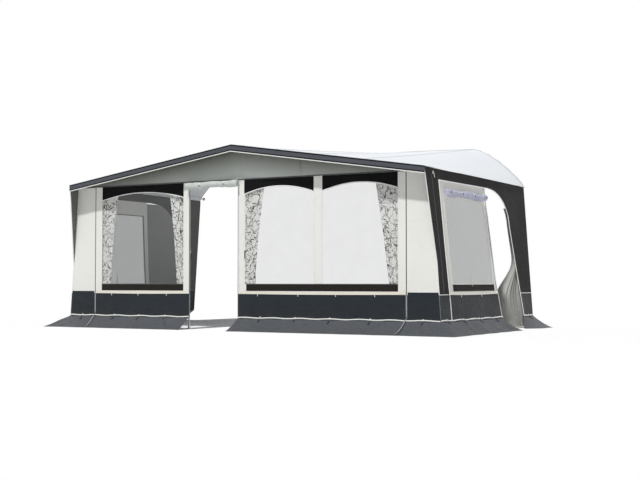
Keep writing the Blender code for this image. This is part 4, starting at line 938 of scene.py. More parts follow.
for name, side in sides:
    # black surround: front stripe with its wing, top band and rear band
    patches = [
        patch(sidePoints(side, rowsBetween(topBacks, topLine, 4),
                         rowsBetween(bandHead, frontEave + (rearEave - frontEave) * topShare, 4))),
        ruled(side, stripeFront, stripeRear, upperHeights, stripeCount),
        ruled(side, archBack, wallEnd, archUpper, rearCount),
    ]
    surround, panel = f"side_surround_{name}_cloth", f"side_panel_{name}_cloth"
    sideSheet(surround, side, patches, "stripe",
              (f"side_surround_{name}",), inner="stripeInside")
    for label, key, first, second in (("front", "mudFront", lambda h: 0 * h, stripeRear),
                                      ("rear", "mudRear", archBack, wallEnd)):
        sideSheet(f"side_mud_{label}_{name}", side, [ruled(side, first, second, lowerHeights, sideColumns[key])],
                  "mud")

    # the zipped-in panel, its columns on the window's edges
    h = panelHeights[:, None]
    edges = [panelFront(h), windowFront(h), windowRear(h), panelRear(h)]
    back = [a + (b - a) * np.linspace(0, 1, n + 1)[:-1] for a, b, n in zip(edges, edges[1:], panelPiece["columns"])]
    back = np.concatenate((*back, edges[-1]), 1)
    middles, column = (h[:-1] + h[1:]) / 2, np.arange(back.shape[1] - 1)
    before, beside, _ = panelPiece["columns"]
    inWindow = (middles > sideWindow["foot"]) & (middles < sideWindow["head"])
    inWindow = inWindow & (column >= before) & (column < before + beside)
    sideSheet(panel, side, [patch(sidePoints(side, back, h), keep=~inWindow)], "panel",
              (f"side_panel_{name}",))
    foot = ruled(side, panelFront, panelRear, lowerHeights, sideColumns["mudPanel"])
    sideSheet(f"side_mud_panel_{name}", side, [foot], "mud")

    # its film, puckered from the window's two lower corners
    lap = sideWindow["lap"]
    h = spaced((sideWindow["foot"] - lap, sideWindow["head"] + lap), 0.018)[:, None]
    back = windowFront(h) - lap + (windowRear(h) - windowFront(h) + 2 * lap) * np.linspace(0, 1, sideColumns["film"])
    pull = 0
    for cornerBack, way in ((sideWindow["frontFoot"], 1), (sideWindow["rearFoot"], -1)):
        away = np.hypot(back - cornerBack, h - sideWindow["foot"])
        turn = np.arctan2(h - sideWindow["foot"], way * (back - cornerBack))
        waves = sideWindow["pucker"] * np.sin(sideWindow["puckers"] * turn)
        pull = pull + waves * np.exp(-away / sideWindow["puckerReach"]) * fade(away, 0.05)
    sideSheet(f"side_film_{name}_pane", side, [patch(sidePoints(side, back, h, filmOff - np.abs(pull)))], "sideFilmTintAndPaintedShade",
              (f"side_film_{name}",), sheets["film"])

    # sill, cream hem and bound window edges lie over the panel
    over = ruled(side, lambda v: windowFront(v) - 0.004, lambda v: windowRear(v) + 0.01,
                 np.linspace(sill["foot"], sideWindow["foot"], 4), sideColumns["sill"], overlayOff)
    sideSheet(f"side_sill_{name}", side, [over], "sill",
              thick=sheets["overlay"])
    share = np.linspace(0, 1, sideColumns["hem"])
    low = room["hem"] + 0.002 - 0.008 * np.sin(np.pi * share) ** 0.6
    h = rowsBetween(low, low + hemPiece["height"], 3)
    back = stripePiece["foot"] - 0.015 + (panelRear(h) - stripePiece["foot"]) * share
    sideSheet(f"side_hem_{name}", side, [patch(sidePoints(side, back, h, overlayOff + 0.0012))], "sideHemPaintedLight",
              thick=sheets["hem"])
    topEdge = np.linspace(sideWindow["frontFoot"], sideWindow["rearFoot"], 20)
    tapes = [tape(sidePoints(side, topEdge, sideWindow["foot"] - 0.004, overlayOff + 0.0014),
                  *sideWindow["sillEdge"])]
    v = spaced((sideWindow["foot"], sideWindow["head"]), 0.1)
    tapes += [sideTape(side, edgeLine(v), v, *sideWindow["bound"]) for edgeLine in (windowFront, windowRear)]
    trimPiece(f"side_window_bindings_{name}", tapes, "piping")

# closed door panel on the left side
doorHeights = archUpper[archUpper < bandHead - 0.004]
for name, heights, finish, slotName, flat, rests, stands in (
    ("side_door_left_cloth", doorHeights, "flap", "wall_cloth", sideFlats["door"], "side_surround_left_cloth",
     ("side_door_left",)),
    ("side_mud_door_left", lowerHeights, "mud", "mud_band_cloth", sideFlats["mudDoor"], "side_door_left_cloth", ()),
):
    leaf = ruled(-1, lambda h: panelRear(h) + room["gap"], lambda h: archBack(h) - room["gap"], heights,
                 sideColumns["door"])
    sideSheet(name, -1, [leaf], finish, stands)
print("side walls made")

filling = {"frames": 20, "pressure": 4.0, "mass": 0.15, "bending": 0.4, "quality": 6, "strapBand": 0.009,
           "wallBand": 0.006, "clear": 0.0018}
rollForm = {"strapReach": 0.022, "slant": (0.035, 0.01), "layerReach": 0.008, "endRings": 8, "endStep": 0.004}
forward = np.array((0, -1.0, 0))


def rollAxes(start, end, out):
    axis = (end - start) / np.linalg.norm(end - start)
    up = np.cross(out, axis)
    return axis, up if up[2] > 0 else -up


def rollSag(profile, share):
    return profile["sag"] * np.sin(np.pi * share) * (0.6 + 0.4 * np.cos(7 * share))


def rollPiece(name, start, end, out, profile, finish, wallPoint):
    # a roll about a line, pinched at its straps and flat where it lies on the wall; its outer turn ends on a slant
    axis, up = rollAxes(start, end, out)
    turns = np.arange(profile["sides"]) * 2 * np.pi / profile["sides"]
    s, turn = np.meshgrid(np.linspace(0, 1, profile["steps"]), turns, indexing="ij")
    pinch = sum(np.exp(-((s - strap) / rollForm["strapReach"]) ** 2) for strap in profile["straps"])
    folds = np.sin(5 * turn + 26 * s) + np.sin(3 * turn - 41 * s) + 0.8 * np.sin(9 * turn + 13 * np.sin(9 * s))
    radius = profile["radius"] * (1 - profile["pinch"] * pinch + profile["folds"] * folds * (1 - 0.6 * pinch))
    radius = radius * (1 + profile["lap"] * (turn / (2 * np.pi)))
    slant = profile["tail"] + rollForm["slant"][0] * np.sin(turn) + rollForm["slant"][1] * np.sin(4 * turn)
    radius = radius + profile["layer"] * np.clip((s - slant) / rollForm["layerReach"], 0, 1)
    centre = start + s[..., None] * (end - start) - rollSag(profile, s)[..., None] * np.array((0, 0, 1.0))
    points = centre + radius[..., None] * (np.cos(turn)[..., None] * out + np.sin(turn)[..., None] * up)
    points = points + np.maximum(filling["clear"] - (points - wallPoint).dot(out), 0)[..., None] * out
    # each end is closed by rings that step in and out like the turns of the cloth
    rings = rollForm["endRings"]
    patches, levels = [patch(points, wrap=True)], np.linspace(1, 0, rings)[:, None, None]
    inward = np.where(np.arange(rings) % 2 == 1, rollForm["endStep"], 0.0)[:, None, None]
    for row, way in ((0, -1), (-1, 1)):
        middle = centre[row, 0]
        patches.append(patch(middle + (points[row] - middle) * levels - way * inward * axis, wrap=True))
    return meshPiece(name, patches, finish)


def filledOut(piece, axisStart, axisEnd, out, profile, wallPoint):
    # cloth simulation: a roll fills under a little pressure, held by its straps and where it lies on the wall;
    # its cloth grows by the profile's spare, which folds, and no point ends further off than its reach
    before = readOut(piece.data.vertices, "co", 3)
    run = axisEnd - axisStart
    share, length = (before - axisStart).dot(run) / run.dot(run), np.linalg.norm(run)
    held = (before - wallPoint).dot(out) < filling["wallBand"]
    for strap in profile["straps"]:
        held |= np.abs(share - strap) * length < filling["strapBand"]
    piece.vertex_groups.new(name="held").add(np.flatnonzero(held).tolist(), 1.0, "REPLACE")
    cloth = piece.modifiers.new("filling", "CLOTH")
    for name, value in (
        ("quality", filling["quality"]), ("mass", filling["mass"]), ("bending_stiffness", filling["bending"]),
        ("use_pressure", True), ("uniform_pressure_force", filling["pressure"]), ("shrink_min", -profile["spare"]),
        ("vertex_group_mass", "held"),
    ):
        setattr(cloth.settings, name, value)
    cloth.settings.effector_weights.gravity = 0
    stage = bpy.context.scene
    for number in range(1, filling["frames"] + 1):
        stage.frame_set(number)
    move = readOut(piece.evaluated_get(bpy.context.evaluated_depsgraph_get()).data.vertices, "co", 3) - before
    far = np.linalg.norm(move, axis=1, keepdims=True)
    after = before + move * np.minimum(1, profile["reach"] / np.maximum(far, 1e-9))
    after = after + np.maximum(filling["clear"] - (after - wallPoint).dot(out), 0)[:, None] * out
    piece.modifiers.remove(cloth)
    piece.vertex_groups.clear()
    stage.frame_set(1)
    piece.data.vertices.foreach_set("co", after.astype(np.float32).ravel())
    piece.data.update()
    finer = piece.modifiers.new("finer", "SUBSURF")
    finer.levels = finer.render_levels = 1
    print(piece.name, "filled out; cloth moved up to", round(float(far.max()), 4))


strapPiece = {"width": 0.018, "thick": 0.0018, "toggle": 0.016, "toggleRadius": 0.0042, "coverToggle": 0.014,
              "coverToggleRadius": 0.0040}


def strapLoop(centre, out, up, axis, radius):
    # a webbing band once round a roll: each row of points runs round it, the rows follow the band's profile
    turn = np.linspace(0, 2 * np.pi, 25)[:-1, None]
    outward = np.cos(turn) * out + np.sin(turn) * up
    profile = tapeProfile(strapPiece["width"], strapPiece["thick"])[:, None]
    rows = centre + radius * outward + profile[..., :1] * axis + profile[..., 1:] * outward
    return patch(rows, wrap=True), patch(rows[[-1, 0]], wrap=True)


def toggleBar(centre, out, up, size, radius):
    return cord(linePath(centre - up * size, centre + up * size, 5), radius, tuple(out))


doorRoll = {"steps": 110, "sides": 30, "straps": (0.29, 0.76), "radius": 0.0400, "pinch": 0.12, "folds": 0.018,
            "lap": 0.05, "sag": 0.005, "tail": 0.82, "layer": 0.0030, "reach": 0.009, "spare": 0.07, "strap": 0.0385,
            "off": 0.0471, "over": 0.015, "heights": (1.893, 1.902), "fill": 0.5, "toggleAt": (0.002, -0.0465, -0.006),
            "toggleWay": (0.25, 0, 0.97)}
coverRoll = {"steps": 130, "sides": 28, "straps": (0.03, 0.34, 0.66, 0.97), "radius": 0.038, "pinch": 0.12,
             "folds": 0.04, "lap": 0.05, "sag": 0.020, "tail": 0.10, "layer": 0.0022, "reach": 0.009, "spare": 0.05,
             "strap": 0.0365, "off": 0.0431, "backs": (0.32, 1.48), "height": 1.70, "fill": 0.4}
rollY = room["frontY"] - doorRoll["off"]
rollStart = np.array((room["doorLeft"] - doorRoll["over"], rollY, doorRoll["heights"][0]))
rollEnd = np.array((room["doorRight"] + doorRoll["over"], rollY, doorRoll["heights"][1]))
rolls = [("door_roll", rollStart, rollEnd, forward, doorRoll, "doorRoll", np.array((0, room["frontY"], 0)),
          "wall_cloth")]
for name, side in sides:
    start, end = (sidePoints(side, back, coverRoll["height"], coverRoll["off"]) for back in coverRoll["backs"])
    rolls.append((f"side_roll_{name}", start, end, sideAxes(side)[3], coverRoll, "cover",
                  sidePoints(side, 0.9, coverRoll["height"]), "cover_cloth"))
for name, start, end, out, profile, finish, wallPoint, slotName in rolls:
    piece = rollPiece(f"{name}_cloth", start, end, out, profile, finish, wallPoint)
    filledOut(piece, start, end, out, profile, wallPoint)
    place(piece, (name,))

straps, toggles = [], []
rollAxis, _ = rollAxes(rollStart, rollEnd, forward)
for share in doorRoll["straps"]:
    centre = rollStart + (rollEnd - rollStart) * share - np.array((0, 0, doorRoll["sag"] * 0.8))
    straps += strapLoop(centre, forward, np.array((0, 0, 1.0)), rollAxis, doorRoll["strap"])
    toggles.append(toggleBar(centre + np.array(doorRoll["toggleAt"]), forward, np.array(doorRoll["toggleWay"]),
                             strapPiece["toggle"], strapPiece["toggleRadius"]))
first, last = coverRoll["backs"]
for _, side in sides:
    _, backWay, up, out = sideAxes(side)
    for share in coverRoll["straps"]:
        centre = sidePoints(side, first + (last - first) * share, coverRoll["height"], coverRoll["off"])
        centre = centre - np.array((0, 0, rollSag(coverRoll, share)))
        straps += strapLoop(centre, out, up, backWay, coverRoll["strap"])
        toggles.append(toggleBar(centre + out * (coverRoll["strap"] + 0.005), out, up, strapPiece["coverToggle"],
                                 strapPiece["coverToggleRadius"]))
trimPiece("roll_straps", straps, "webbing")
trimPiece("roll_toggles", toggles, "plastic")
print("rolled cloths made")

# for each curtain its window, side, folds and the shares of its width at head, middle and foot
curtainPiece = {
    "head": 1.884, "foot": 0.552, "flatHeight": 1.332, "offWall": 0.020, "width": 0.306, "thick": 0.0007,
    "rows": 60, "perFold": 14, "tape": (0.0012, 0.018),
    "shares": {
        "curtain_left_outer": ("left", -1, 7, 0.902, 0.588, 0.467),
        "curtain_left_inner": ("left", 1, 6, 0.797, 0.523, 0.340),
        "curtain_right_inner": ("middle", -1, 7, 0.987, 0.654, 0.523),
        "curtain_right_outer": ("right", 1, 7, 1.0, 0.654, 0.359),
    },
}


def curtainPoints(edge, side, folds, head, middle, foot):
    # folds fan out from the head; where the cloth is drawn in they stand deeper and closer
    down = np.linspace(0, 1, curtainPiece["rows"])[:, None]
    across = np.linspace(0, 1, folds * curtainPiece["perFold"] + 1)[None, :]
    width = np.interp(down, (0, 0.5, 1), (head, middle, foot))
    smooth = head * (1 - down) ** 2 + 2 * (2 * middle - (head + foot) / 2) * down * (1 - down) + foot * down**2
    width = curtainPiece["width"] * (0.4 * width + 0.6 * smooth)
    drift = 0.10 * np.sin(3.1 * down + 5 * across) * np.sin(np.pi * across)
    phase = 2 * np.pi * folds * (across + 0.035 * np.sin(2 * np.pi * across + 4 * down) * down) + drift
    depth = 0.0098 * (0.82 + 0.18 * np.sin(5 * across + 3 * down))
    pleat = np.cos(phase) + 0.22 * np.cos(2 * phase + 1.2 * down)
    x = edge - side * (0.006 + width * across) + 0.25 * width / folds * np.sin(phase) * 0.5
    y = room["frontY"] + curtainPiece["offWall"] - depth * pleat / 1.22
    z = curtainPiece["head"] + (curtainPiece["foot"] - curtainPiece["head"]) * down
    return np.stack(np.broadcast_arrays(x, y, z + 0.004 * np.sin(2 * np.pi * folds * across) * down**4), -1)


for name, (window, side, folds, *shares) in curtainPiece["shares"].items():
    edge = windows[window][0 if side < 0 else 1]
    grid = curtainPoints(edge, side, folds, *shares)
    step = np.linalg.norm(np.diff(grid, axis=1), axis=2)
    u = np.append(0, np.cumsum(step.mean(0))) + 3.1 * folds + edge
    v = np.linspace(0, curtainPiece["head"] - curtainPiece["foot"], curtainPiece["rows"])
    curtain, _ = sheetPiece(f"{name}_cloth", [patch(grid, np.stack(np.meshgrid(u, v), -1))], "curtain", (0, -1, 0),
                            (name,), curtainPiece["thick"], body=name + "_body")
    header = tape(grid[1] + np.array((0, 0.0016, -0.004)), *curtainPiece["tape"])
    header = trimPiece(f"{name}_tape", [header], "webbing", name + "_body")
print("curtains made")

flapPiece = {
    "head": 1.62, "foot": 0.012, "offWall": 0.045, "flatWidth": 0.78, "flatHeight": 1.61, "used": 0.93, "folds": 7,
    "root": 0.2, "thick": 0.0012, "rows": 70, "columns": 127, "tie": 0.86, "tieBehind": 0.20,
    "sideEdge": 0.004, "footEdge": 0.005, "tieBand": (0.0016, 0.022),
    "heights": (0.0, 0.10, 0.24, 0.35, 0.45, 0.54, 0.62, 0.72, 0.86, 1.0, 1.62),
    "widths": (0.32, 0.39, 0.43, 0.44, 0.42, 0.36, 0.27, 0.18, 0.085, 0.08, 0.07),
    "belly": (0.05, 0.09, 0.14, 0.155, 0.15, 0.12, 0.085, 0.05, 0.01, 0.0, 0.0),
    "behind": (0.03, 0.03, 0.03, 0.03, 0.035, 0.05, 0.08, 0.13, 0.20, 0.20, 0.20),
}


def flapProfile(name, height):
    # one of the tables over the heights, its corners rounded by a running mean
    values = np.interp(height, flapPiece["heights"], flapPiece[name])
    return np.convolve(np.pad(values, 4, "edge"), np.full(9, 1 / 9), "valid")[:, None]


def flapPoints():
    # seen from above each row runs forward from the arch, then turns inward; both runs are sums of small steps.
    # the folds stand as deep as the spare cloth asks: path squared = run squared + (4 folds x depth) squared
    height = np.linspace(flapPiece["head"], flapPiece["foot"], flapPiece["rows"])
    width, belly, behind = (flapProfile(name, height) for name in ("widths", "belly", "behind"))
    height, share = height[:, None], np.linspace(1, 0, flapPiece["columns"])
    heading = np.pi / 2 * np.clip((share[::-1] - 0.56) / 0.22, 0, 1)
    forward, inward = (np.cumsum(way(heading))[::-1] for way in (np.cos, np.sin))
    forward, inward = forward / forward.max(), inward / inward.max()
    down = (flapPiece["head"] - height) / (flapPiece["head"] - flapPiece["foot"])
    rear = archBack(np.maximum(height, room["foot"])) + behind
    phase = 2 * np.pi * flapPiece["folds"] * (1 - share) ** 0.8 + 0.5 * np.sin(4 * down) * np.sin(np.pi * share)
    spare = (flapPiece["used"] * flapPiece["flatWidth"]) ** 2 - (width + 0.8 * belly) ** 2
    depth = np.sqrt(np.maximum(spare, 0)) / (4 * flapPiece["folds"])
    fold = depth * (np.cos(phase) + 0.15 * np.sin(2 * phase + 3 * down)) / 1.12
    free = np.clip(share / flapPiece["root"], 0, 1)
    seat = sheets["cloth"] / 2 + room["gap"] + flapPiece["thick"] / 2
    off = -(seat + (flapPiece["offWall"] + fold - seat) * free + belly * inward)
    return sidePoints(1, rear - width * forward - 0.6 * fold * inward, height, off)


grid = flapPoints()
flap, _ = sheetPiece("side_door_tied_cloth", [patch(grid)], "flap", (1, 0, 0), ("side_door_tied",),
                     flapPiece["thick"])
flapEdge = trimPiece("side_door_tied_edge", [cord(grid[:, 0], flapPiece["sideEdge"], (1, 0, 0)),
                                             cord(grid[-1], flapPiece["footEdge"])], "piping")
tieBack = float(archBack(np.array(flapPiece["tie"]))) + flapPiece["tieBehind"] - 0.046
turn = np.linspace(0, 2 * np.pi, 25)
tieRing = sidePoints(1, tieBack + 0.062 * np.cos(turn), flapPiece["tie"], -0.036 + 0.034 * np.sin(turn))
trimPiece("side_door_tie", [tape(tieRing, *flapPiece["tieBand"])], "webbing")
print("tied door panel made")

skirtPiece = {
    "reach": 0.30, "scallop": 0.02, "pitch": 0.42, "thick": 0.0012, "rows": 18, "fold": 0.030, "fall": 1.45,
    "frontReach": {"left": 0.24, "right": 0.30}, "rearEnd": {"left": room["depth"], "right": panelPiece["foot"]},
    "seeds": {"left": 0.4, "right": 1.9, "rear": 2.6}, "flare": 0.27, "sink": 0.0008, "clear": 0.0004,
    "cornerFolds": ((0.0, 0.035, 0.050), (-0.16, 0.030, 0.022)),
}


def skirtGrid(path, outways, rise, seed, corner=None):
    # path along the wall's foot, outways the level directions the skirt runs out to; corner counts the points of
    # path before the corner
    along = np.append(0, np.cumsum(np.linalg.norm(np.diff(path[:, :2], axis=0), axis=1)))
    lift = skirtPiece["scallop"] * (0.5 - 0.5 * np.cos(2 * np.pi * along / skirtPiece["pitch"]))
    outways = outways * (1 - lift[:, None] / skirtPiece["reach"])
    # from the wall's foot the cloth drops, then runs out on the ground; pegs pull its edge in and folds lie between
    s = np.linspace(0, 1, skirtPiece["rows"])[:, None]
    ground, top = skirtPiece["thick"] + skirtPiece["clear"], path[:, 2] + rise
    z = ground + (top - ground) * (1 - s) ** skirtPiece["fall"]
    wave = (np.sin(2 * np.pi * along / skirtPiece["pitch"] + seed) * 0.45
            + 0.55 * np.sin(17.0 * along + 2.2 * np.sin(5 * along + seed)))
    fine = np.sin(43 * along + 9 * s + seed) * np.sin(11 * along + 3)
    folded = 0.5 + 0.5 * np.cos(2 * np.pi * (along / skirtPiece["pitch"] + 0.35 * s * np.sin(3 * along + seed)))
    folded = skirtPiece["fold"] * folded**12 * (0.55 + 0.45 * np.sin(2.3 * along + seed))
    if corner is not None:
        # the spare cloth at the corner stands up in one fold and a lower one beside it
        for shift, spread, height in skirtPiece["cornerFolds"]:
            folded = folded + height * np.exp(-((along - along[corner] - 0.02 - shift) / spread) ** 2)
    z = z + (0.0085 * wave + 0.0026 * fine + folded) * np.sin(np.pi * s) ** 0.8 * s**0.3
    plan = path[:, :2] + outways * s[..., None]
    return np.concatenate((plan, np.maximum(z, ground)[..., None]), -1), float(along[-1])


def skirtSheet(name, grid, stands):
    piece, _ = sheetPiece(name, [patch(grid)], "skirt", (0, 0, 1), stands, skirtPiece["thick"], -1)


for name, side in sides:
    reach, share = skirtPiece["frontReach"][name], np.linspace(0, 1, 130)
    x = doors[name] + (side * sideHalf(0, room["foot"]) - doors[name]) * share
    front = np.stack(np.broadcast_arrays(x, room["frontY"], room["foot"]), -1)
    frontOut = np.stack((side * skirtPiece["reach"] * share**6, -reach + 0 * x), -1)
    back = np.linspace(0, skirtPiece["rearEnd"][name], 100)[1:]
    turn = np.clip(back / 0.25, 0, 1)
    sideOut = np.stack((np.full(len(turn), side * skirtPiece["reach"]), -reach * (1 - turn) ** 3), -1)
    grid, length = skirtGrid(np.concatenate((front, sidePoints(side, back, room["foot"]))),
                             np.concatenate((frontOut, sideOut)), -skirtPiece["sink"], skirtPiece["seeds"][name],
                             len(front))
    skirtSheet(f"skirt_{name}_cloth", grid, (f"skirt_{name}",))
share = np.linspace(0, 1, 24)
rearOut = np.stack((skirtPiece["reach"] * (0.36 + 0.64 * np.sin(np.pi / 2 * np.clip(share / 0.45, 0, 1))),
                    -skirtPiece["flare"] * (1 - share) ** 1.5), -1)
rearPath = sidePoints(1, np.linspace(doorArch["foot"], room["depth"], 24), room["foot"])
grid, _ = skirtGrid(rearPath, rearOut, skirtPiece["sink"], skirtPiece["seeds"]["rear"])
skirtSheet("skirt_rear_right_cloth", grid, ("side_surround_right",))
print("skirts made")

# radii first, then how far each line stands off the cloth and aside of the edge that it follows
pipingPiece = {
    "radius": 0.0055, "thin": 0.0042, "foot": 0.0085, "off": 0.0042, "rearOff": 0.0046, "hemOff": 0.0038,
    "wingOff": 0.002, "footOff": 0.0085, "aside": 0.004, "zipSides": (-0.008, -0.055), "wingAside": 0.001,
    "underFascia": 0.05, "overHem": 0.002, "pitch": 0.06, "finePitch": 0.05, "dip": 0.004, "footLift": 0.006,
}


def sideCord(side, back, height, off, kind):
    return cord(sidePoints(side, back, height, off), pipingPiece[kind], (side, 0, 0))


def footLine(along):
    # height of the mud band's foot, a little up and down between the pegs
    return room["foot"] + pipingPiece["footLift"] + pipingPiece["dip"] * np.sin(2 * np.pi * along / skirtPiece["pitch"])


frontCords, cornerCords, sideCords = [], [], []
aside, edgeOff, rearOff, pitch = (pipingPiece[key] for key in ("aside", "off", "rearOff", "pitch"))
wingHead = roofShape["end"] - pipingPiece["underFascia"]
for _, side in sides:
    # wing edge from behind the fascia down to the corner, and on down the corner to the ground
    for marks, kept in (((room["foot"], room["hem"]), cornerCords),
                        ((room["hem"], stripePiece["wingFoot"], wingHead), frontCords)):
        h = spaced(marks, pipingPiece["finePitch"])
        kept.append(sideCord(side, stripeFront(h) - pipingPiece["wingAside"], h, pipingPiece["wingOff"], "radius"))
    # rear edge of the stripe, arch edge and both sides of the zip at the panel's rear
    for edgeLine, h, shift, off, kind in (
        (stripeRear, spaced((room["foot"], bandHead), pitch), aside, edgeOff, "radius"),
        (archBack, archHeights, aside, edgeOff, "radius"),
        (panelRear, spaced((room["foot"], panelPiece["knee"], bandHead), pitch), pipingPiece["zipSides"][0], rearOff,
         "thin"),
        (panelRear, spaced((room["hem"], panelPiece["knee"], bandHead), pitch), pipingPiece["zipSides"][1], rearOff,
         "thin"),
    ):
        sideCords.append(sideCord(side, edgeLine(h) + shift, h, off, kind))
    back = spaced((stripePiece["head"], doorArch["start"]), pitch)
    sideCords.append(sideCord(side, back, bandHead + aside, edgeOff, "radius"))
    # foot of the mud band, with a gap at the open door on the right
    runs = ((0.0, panelPiece["foot"]), (doorArch["foot"], room["depth"])) if side > 0 else ((0.0, room["depth"]),)
    for run in runs:
        back = spaced(run, 0.04)
        sideCords.append(sideCord(side, back, footLine(back), pipingPiece["footOff"], "foot"))
    # head of the mud band across the rear band and the front stripe
    hem = np.array(room["hem"])
    for run in ((float(archBack(hem)), room["depth"]), (0.0, float(stripeRear(hem)))):
        sideCords.append(sideCord(side, spaced(run, pitch), room["hem"] + pipingPiece["overHem"], pipingPiece["hemOff"],
                                  "thin"))
for run in ((-cornerX(room["foot"]), room["doorLeft"]), (room["doorRight"], cornerX(room["foot"]))):
    x = spaced(run, 0.03)
    frontCords.append(cord(mudPoints(x, footLine(x), pipingPiece["footOff"]), pipingPiece["foot"], (0, -1, 0)))
for name, cords, finish in (("wall_piping", frontCords, "piping"), ("side_piping", sideCords, "sidePipingPaintedLight"),
                            ("corner_piping", cornerCords, "mudPiping")):
    trimPiece(name, cords, finish)

# bands as their distance off the cloth, width and thickness
zipPiece = {
    "front": (0.00094, 0.013, 0.00026), "mud": (0.00094, 0.0182, 0.00026), "door": (0.0006, 0.012, 0.0008),
    "stripe": (0.0013, 0.016, 0.0008), "middle": (0.0012, 0.010, 0.0007), "rear": (0.0013, 0.030, 0.0008),
    "headGap": 0.012, "footGap": 0.004, "mudFootGap": 0.020, "sideHeadGap": 0.006, "pitch": 0.06, "doorPitch": 0.08,
    "doorInset": 0.003, "stripeAside": 0.014, "rearAside": 0.032, "overBand": 0.06,
}
zipHead, zipFoot = room["seam"] - zipPiece["headGap"], room["foot"] + zipPiece["footGap"]
sideHead, pitch = bandHead - zipPiece["sideHeadGap"], zipPiece["pitch"]
tapes, paleTapes = [], []
for x in (-room["zipX"], room["zipX"]):
    tapes.append(frontTape(x, (room["hem"], zipHead), pitch, *zipPiece["front"]))
    paleTapes.append(frontTape(x, (room["foot"] + zipPiece["mudFootGap"], room["hem"]), pitch, *zipPiece["mud"]))
for x in (room["doorLeft"] + zipPiece["doorInset"], room["doorRight"] - zipPiece["doorInset"]):
    tapes.append(frontTape(x, (zipFoot, zipHead), zipPiece["doorPitch"], *zipPiece["door"]))
for _, side in sides:
    h = spaced((zipFoot, sideHead), pitch)
    tapes.append(sideTape(side, stripeRear(h) + zipPiece["stripeAside"], h, *zipPiece["stripe"]))
    # a second, darker zip runs down the middle of the stripe, a pale one down the panel's rear
    h = spaced((room["hem"] + zipPiece["footGap"], bandHead + zipPiece["overBand"]), pitch)
    middle = (stripeFront(h) + stripeRear(np.minimum(h, bandHead))) * 0.5
    tapes.append(sideTape(side, middle, h, *zipPiece["middle"]))
    h = spaced((room["hem"] + zipPiece["footGap"], panelPiece["knee"], sideHead), pitch)
    paleTapes.append(sideTape(side, panelRear(h) - zipPiece["rearAside"], h, *zipPiece["rear"]))
trimPiece("zip_tapes", tapes, "zipTape")
trimPiece("pale_zip_tapes", paleTapes, "paleZip")

pegPiece = {
    "frontX": (-2.62, -2.05, -1.62, -1.18, 0.34, 0.86, 1.36, 1.92, 2.62), "drop": 0.05, "ladder": 0.055, "width": 0.014,
    "sideBacks": {"left": (0.15, 0.62, 1.12, 1.62, 2.2, 2.8), "right": (0.15, 0.62, 1.12, 1.62, 2.83)},
    "rail": 0.0022, "rung": 0.002, "rungs": (0.3, 0.5, 0.7, 0.93), "lift": 0.004, "off": 0.010,
}


def ladderParts(top, out, way):
    # rubber ladder: two rails and four rungs, from the piping down over the skirt
    out, half = np.array(out), np.array(way) * pegPiece["width"] / 2
    s = np.linspace(0, 1, 8)
    path = top + out * (s[:, None] * pegPiece["ladder"] + 0.006)
    path[:, 2] -= pegPiece["drop"] * (1 - (1 - s) ** skirtPiece["fall"])
    made = [cord(path + half * sign, pegPiece["rail"], tuple(np.cross(out, way)), 6) for sign in (-1, 1)]
    for rung in pegPiece["rungs"]:
        middle = np.array([np.interp(rung, s, path[:, axis]) for axis in range(3)])
        made.append(cord(linePath(middle - half, middle + half, 3), pegPiece["rung"], sides=6))
    return made


ladders, loops = [], []
for x in pegPiece["frontX"]:
    top = mudPoints(x, room["foot"] + pegPiece["lift"], pegPiece["off"])
    ladders += ladderParts(top, (0, -1.0, 0), (1.0, 0, 0))
    loops.append(tape(linePath(top + (0, 0.004, 0.022), top + (0, -0.004, -0.012), 4), 0.014, 0.0016, (0, -1, 0)))
for name, side in sides:
    for back in pegPiece["sideBacks"][name]:
        top = sidePoints(side, back, room["foot"] + pegPiece["lift"], pegPiece["off"])
        ladders += ladderParts(top, (side * 1.0, 0, 0), (0, 1.0, 0))
        ends = top + (-side * 0.004, 0, 0.022), top + (side * 0.004, 0, -0.012)
        loops.append(tape(linePath(*ends, 4), 0.0016, 0.014, (0, 1, 0)))
trimPiece("peg_ladders", ladders, "rubber")
trimPiece("peg_loops", loops, "webbing")

strapLines = {
    "backs": (0.030, 0.042, 0.066, 0.078), "heights": (1.90, 1.93, 1.905, 1.86), "sillBack": 0.98,
    "tie": (0.008, 0.018, 0.003), "sill": (0.007, 0.013, 0.002), "peg": (0.012, 0.002),
}
webs, pegWebs = [], []
for name, side in sides:
    s = np.linspace(0, 1, 12)
    x = side * (room["zipX"] - 0.004 - 0.02 * s**2)
    y = room["frontY"] - 0.022 - (skirtPiece["frontReach"][name] - 0.024) * s
    z = 0.016 + (room["foot"] + 0.004) * (1 - s) ** 1.6
    pegWebs.append(tape(np.stack((x, y, z), -1), *strapLines["peg"]))
    webs.append(sideTape(side, strapLines["backs"], strapLines["heights"], *strapLines["tie"]))
    h = np.linspace(sideWindow["foot"] - 0.03, sideWindow["foot"] + 0.12, 6)
    back = strapLines["sillBack"] + 0.006 * np.sin(30 * h)
    webs.append(sideTape(side, back, h, *strapLines["sill"]))
trimPiece("tie_straps", webs, "webbing")
trimPiece("corner_peg_straps", pegWebs, "paleZip")

togglePiece = {"frontX": (-2.10, -1.64, -1.16, 0.30, 0.90, 1.44, 1.98), "sideBacks": (0.62, 1.25), "radius": 0.0042,
               "off": 0.006, "length": 0.034}
hooks, length = [], togglePiece["length"]
for x in togglePiece["frontX"]:
    top = frontPoints(x, room["hem"] + 0.006, togglePiece["off"])
    hooks.append(cord(linePath(top, top + (0.004, -0.003, -length), 4), togglePiece["radius"], (1, 0, 0)))
for _, side in sides:
    for back in togglePiece["sideBacks"]:
        top = sidePoints(side, back, room["hem"] + 0.004, togglePiece["off"])
        hooks.append(cord(linePath(top, top + (side * 0.002, 0.003, -length), 4), togglePiece["radius"], (0, 1, 0)))
trimPiece("hem_toggles", hooks, "webbing")
print("piping, zips and peg straps made")

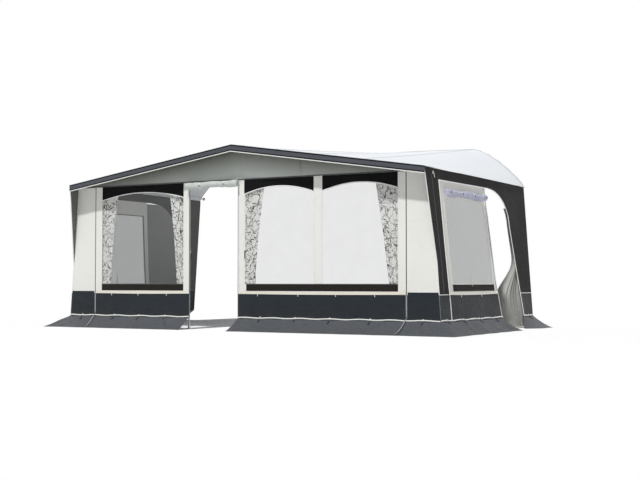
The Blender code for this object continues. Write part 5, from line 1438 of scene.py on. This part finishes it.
# the part's own shapes that show keep their form and get a finish
shown = {
    "zinc": ("corner_joint", "rafter", "ridge_pole", "side_pole", "post_upper", "post_lower"),
    "plastic": ("post_lever",), "rubber": ("rail_bead",), "track": ("curtain_track",), "slider": ("zip_slider",),
}
for finish, starts in shown.items():
    for name in [name for name in nodes if name.startswith(starts)]:
        nodes[name].data.materials.clear()
        nodes[name].data.materials.append(finishes[finish])

studio = {
    "floorHalf": 60, "floorZ": -0.001, "floorTone": 0.96, "fill": 0.24, "sunEnergy": 2.9, "sunAngle": 3,
    "sunWay": (-0.02, 0.50, -0.87), "sensor": 36, "lens": 64.12, "eye": (8.2582, -13.5955, 0.6207),
    "pitch": 92.1248, "turn": 29.905,
}
scene = bpy.context.scene
floorData = bpy.data.meshes.new("floor")
reach, low = studio["floorHalf"], studio["floorZ"]
floorData.from_pydata([(-reach, -reach, low), (reach, -reach, low), (reach, reach, low), (-reach, reach, low)], [],
                      [(0, 1, 2, 3)])
floor = bpy.data.objects.new("floor", floorData)
scene.collection.objects.link(floor)
floorMaterial, _, floorShader = newMaterial("paleFloor", 0.9)
feed(floorShader, {"Base Color": (*[studio["floorTone"]] * 3, 1), "Specular IOR Level": 0.0})
floorData.materials.append(floorMaterial)

# the world lights softly and shows white behind the object, through its films and in its gloss
world = bpy.data.worlds.new("studio")
scene.world = world
world.use_nodes = True
rays = add(world.node_tree, "LightPath").outputs
seen = calc(world.node_tree, "MAXIMUM", rays["Is Camera Ray"], rays["Is Transmission Ray"])
seen = calc(world.node_tree, "MAXIMUM", seen, rays["Is Glossy Ray"])
feed(world.node_tree.nodes["Background"],
     {"Strength": remap(world.node_tree, seen, 0, 1, studio["fill"], 1.0), "Color": (1, 1, 1, 1)})

lampData = bpy.data.lights.new("key", "SUN")
lampData.energy = studio["sunEnergy"]
lampData.angle = math.radians(studio["sunAngle"])
lamp = bpy.data.objects.new("key", lampData)
scene.collection.objects.link(lamp)
lamp.rotation_euler = Vector(studio["sunWay"]).to_track_quat("-Z", "Y").to_euler()

cameraData = bpy.data.cameras.new("camera")
cameraData.sensor_width = studio["sensor"]
cameraData.lens = studio["lens"]
camera = bpy.data.objects.new("camera", cameraData)
scene.collection.objects.link(camera)
camera.location = studio["eye"]
camera.rotation_euler = (math.radians(studio["pitch"]), 0, math.radians(studio["turn"]))
scene.camera = camera
scene.view_settings.view_transform = "Standard"

print("stage ready")
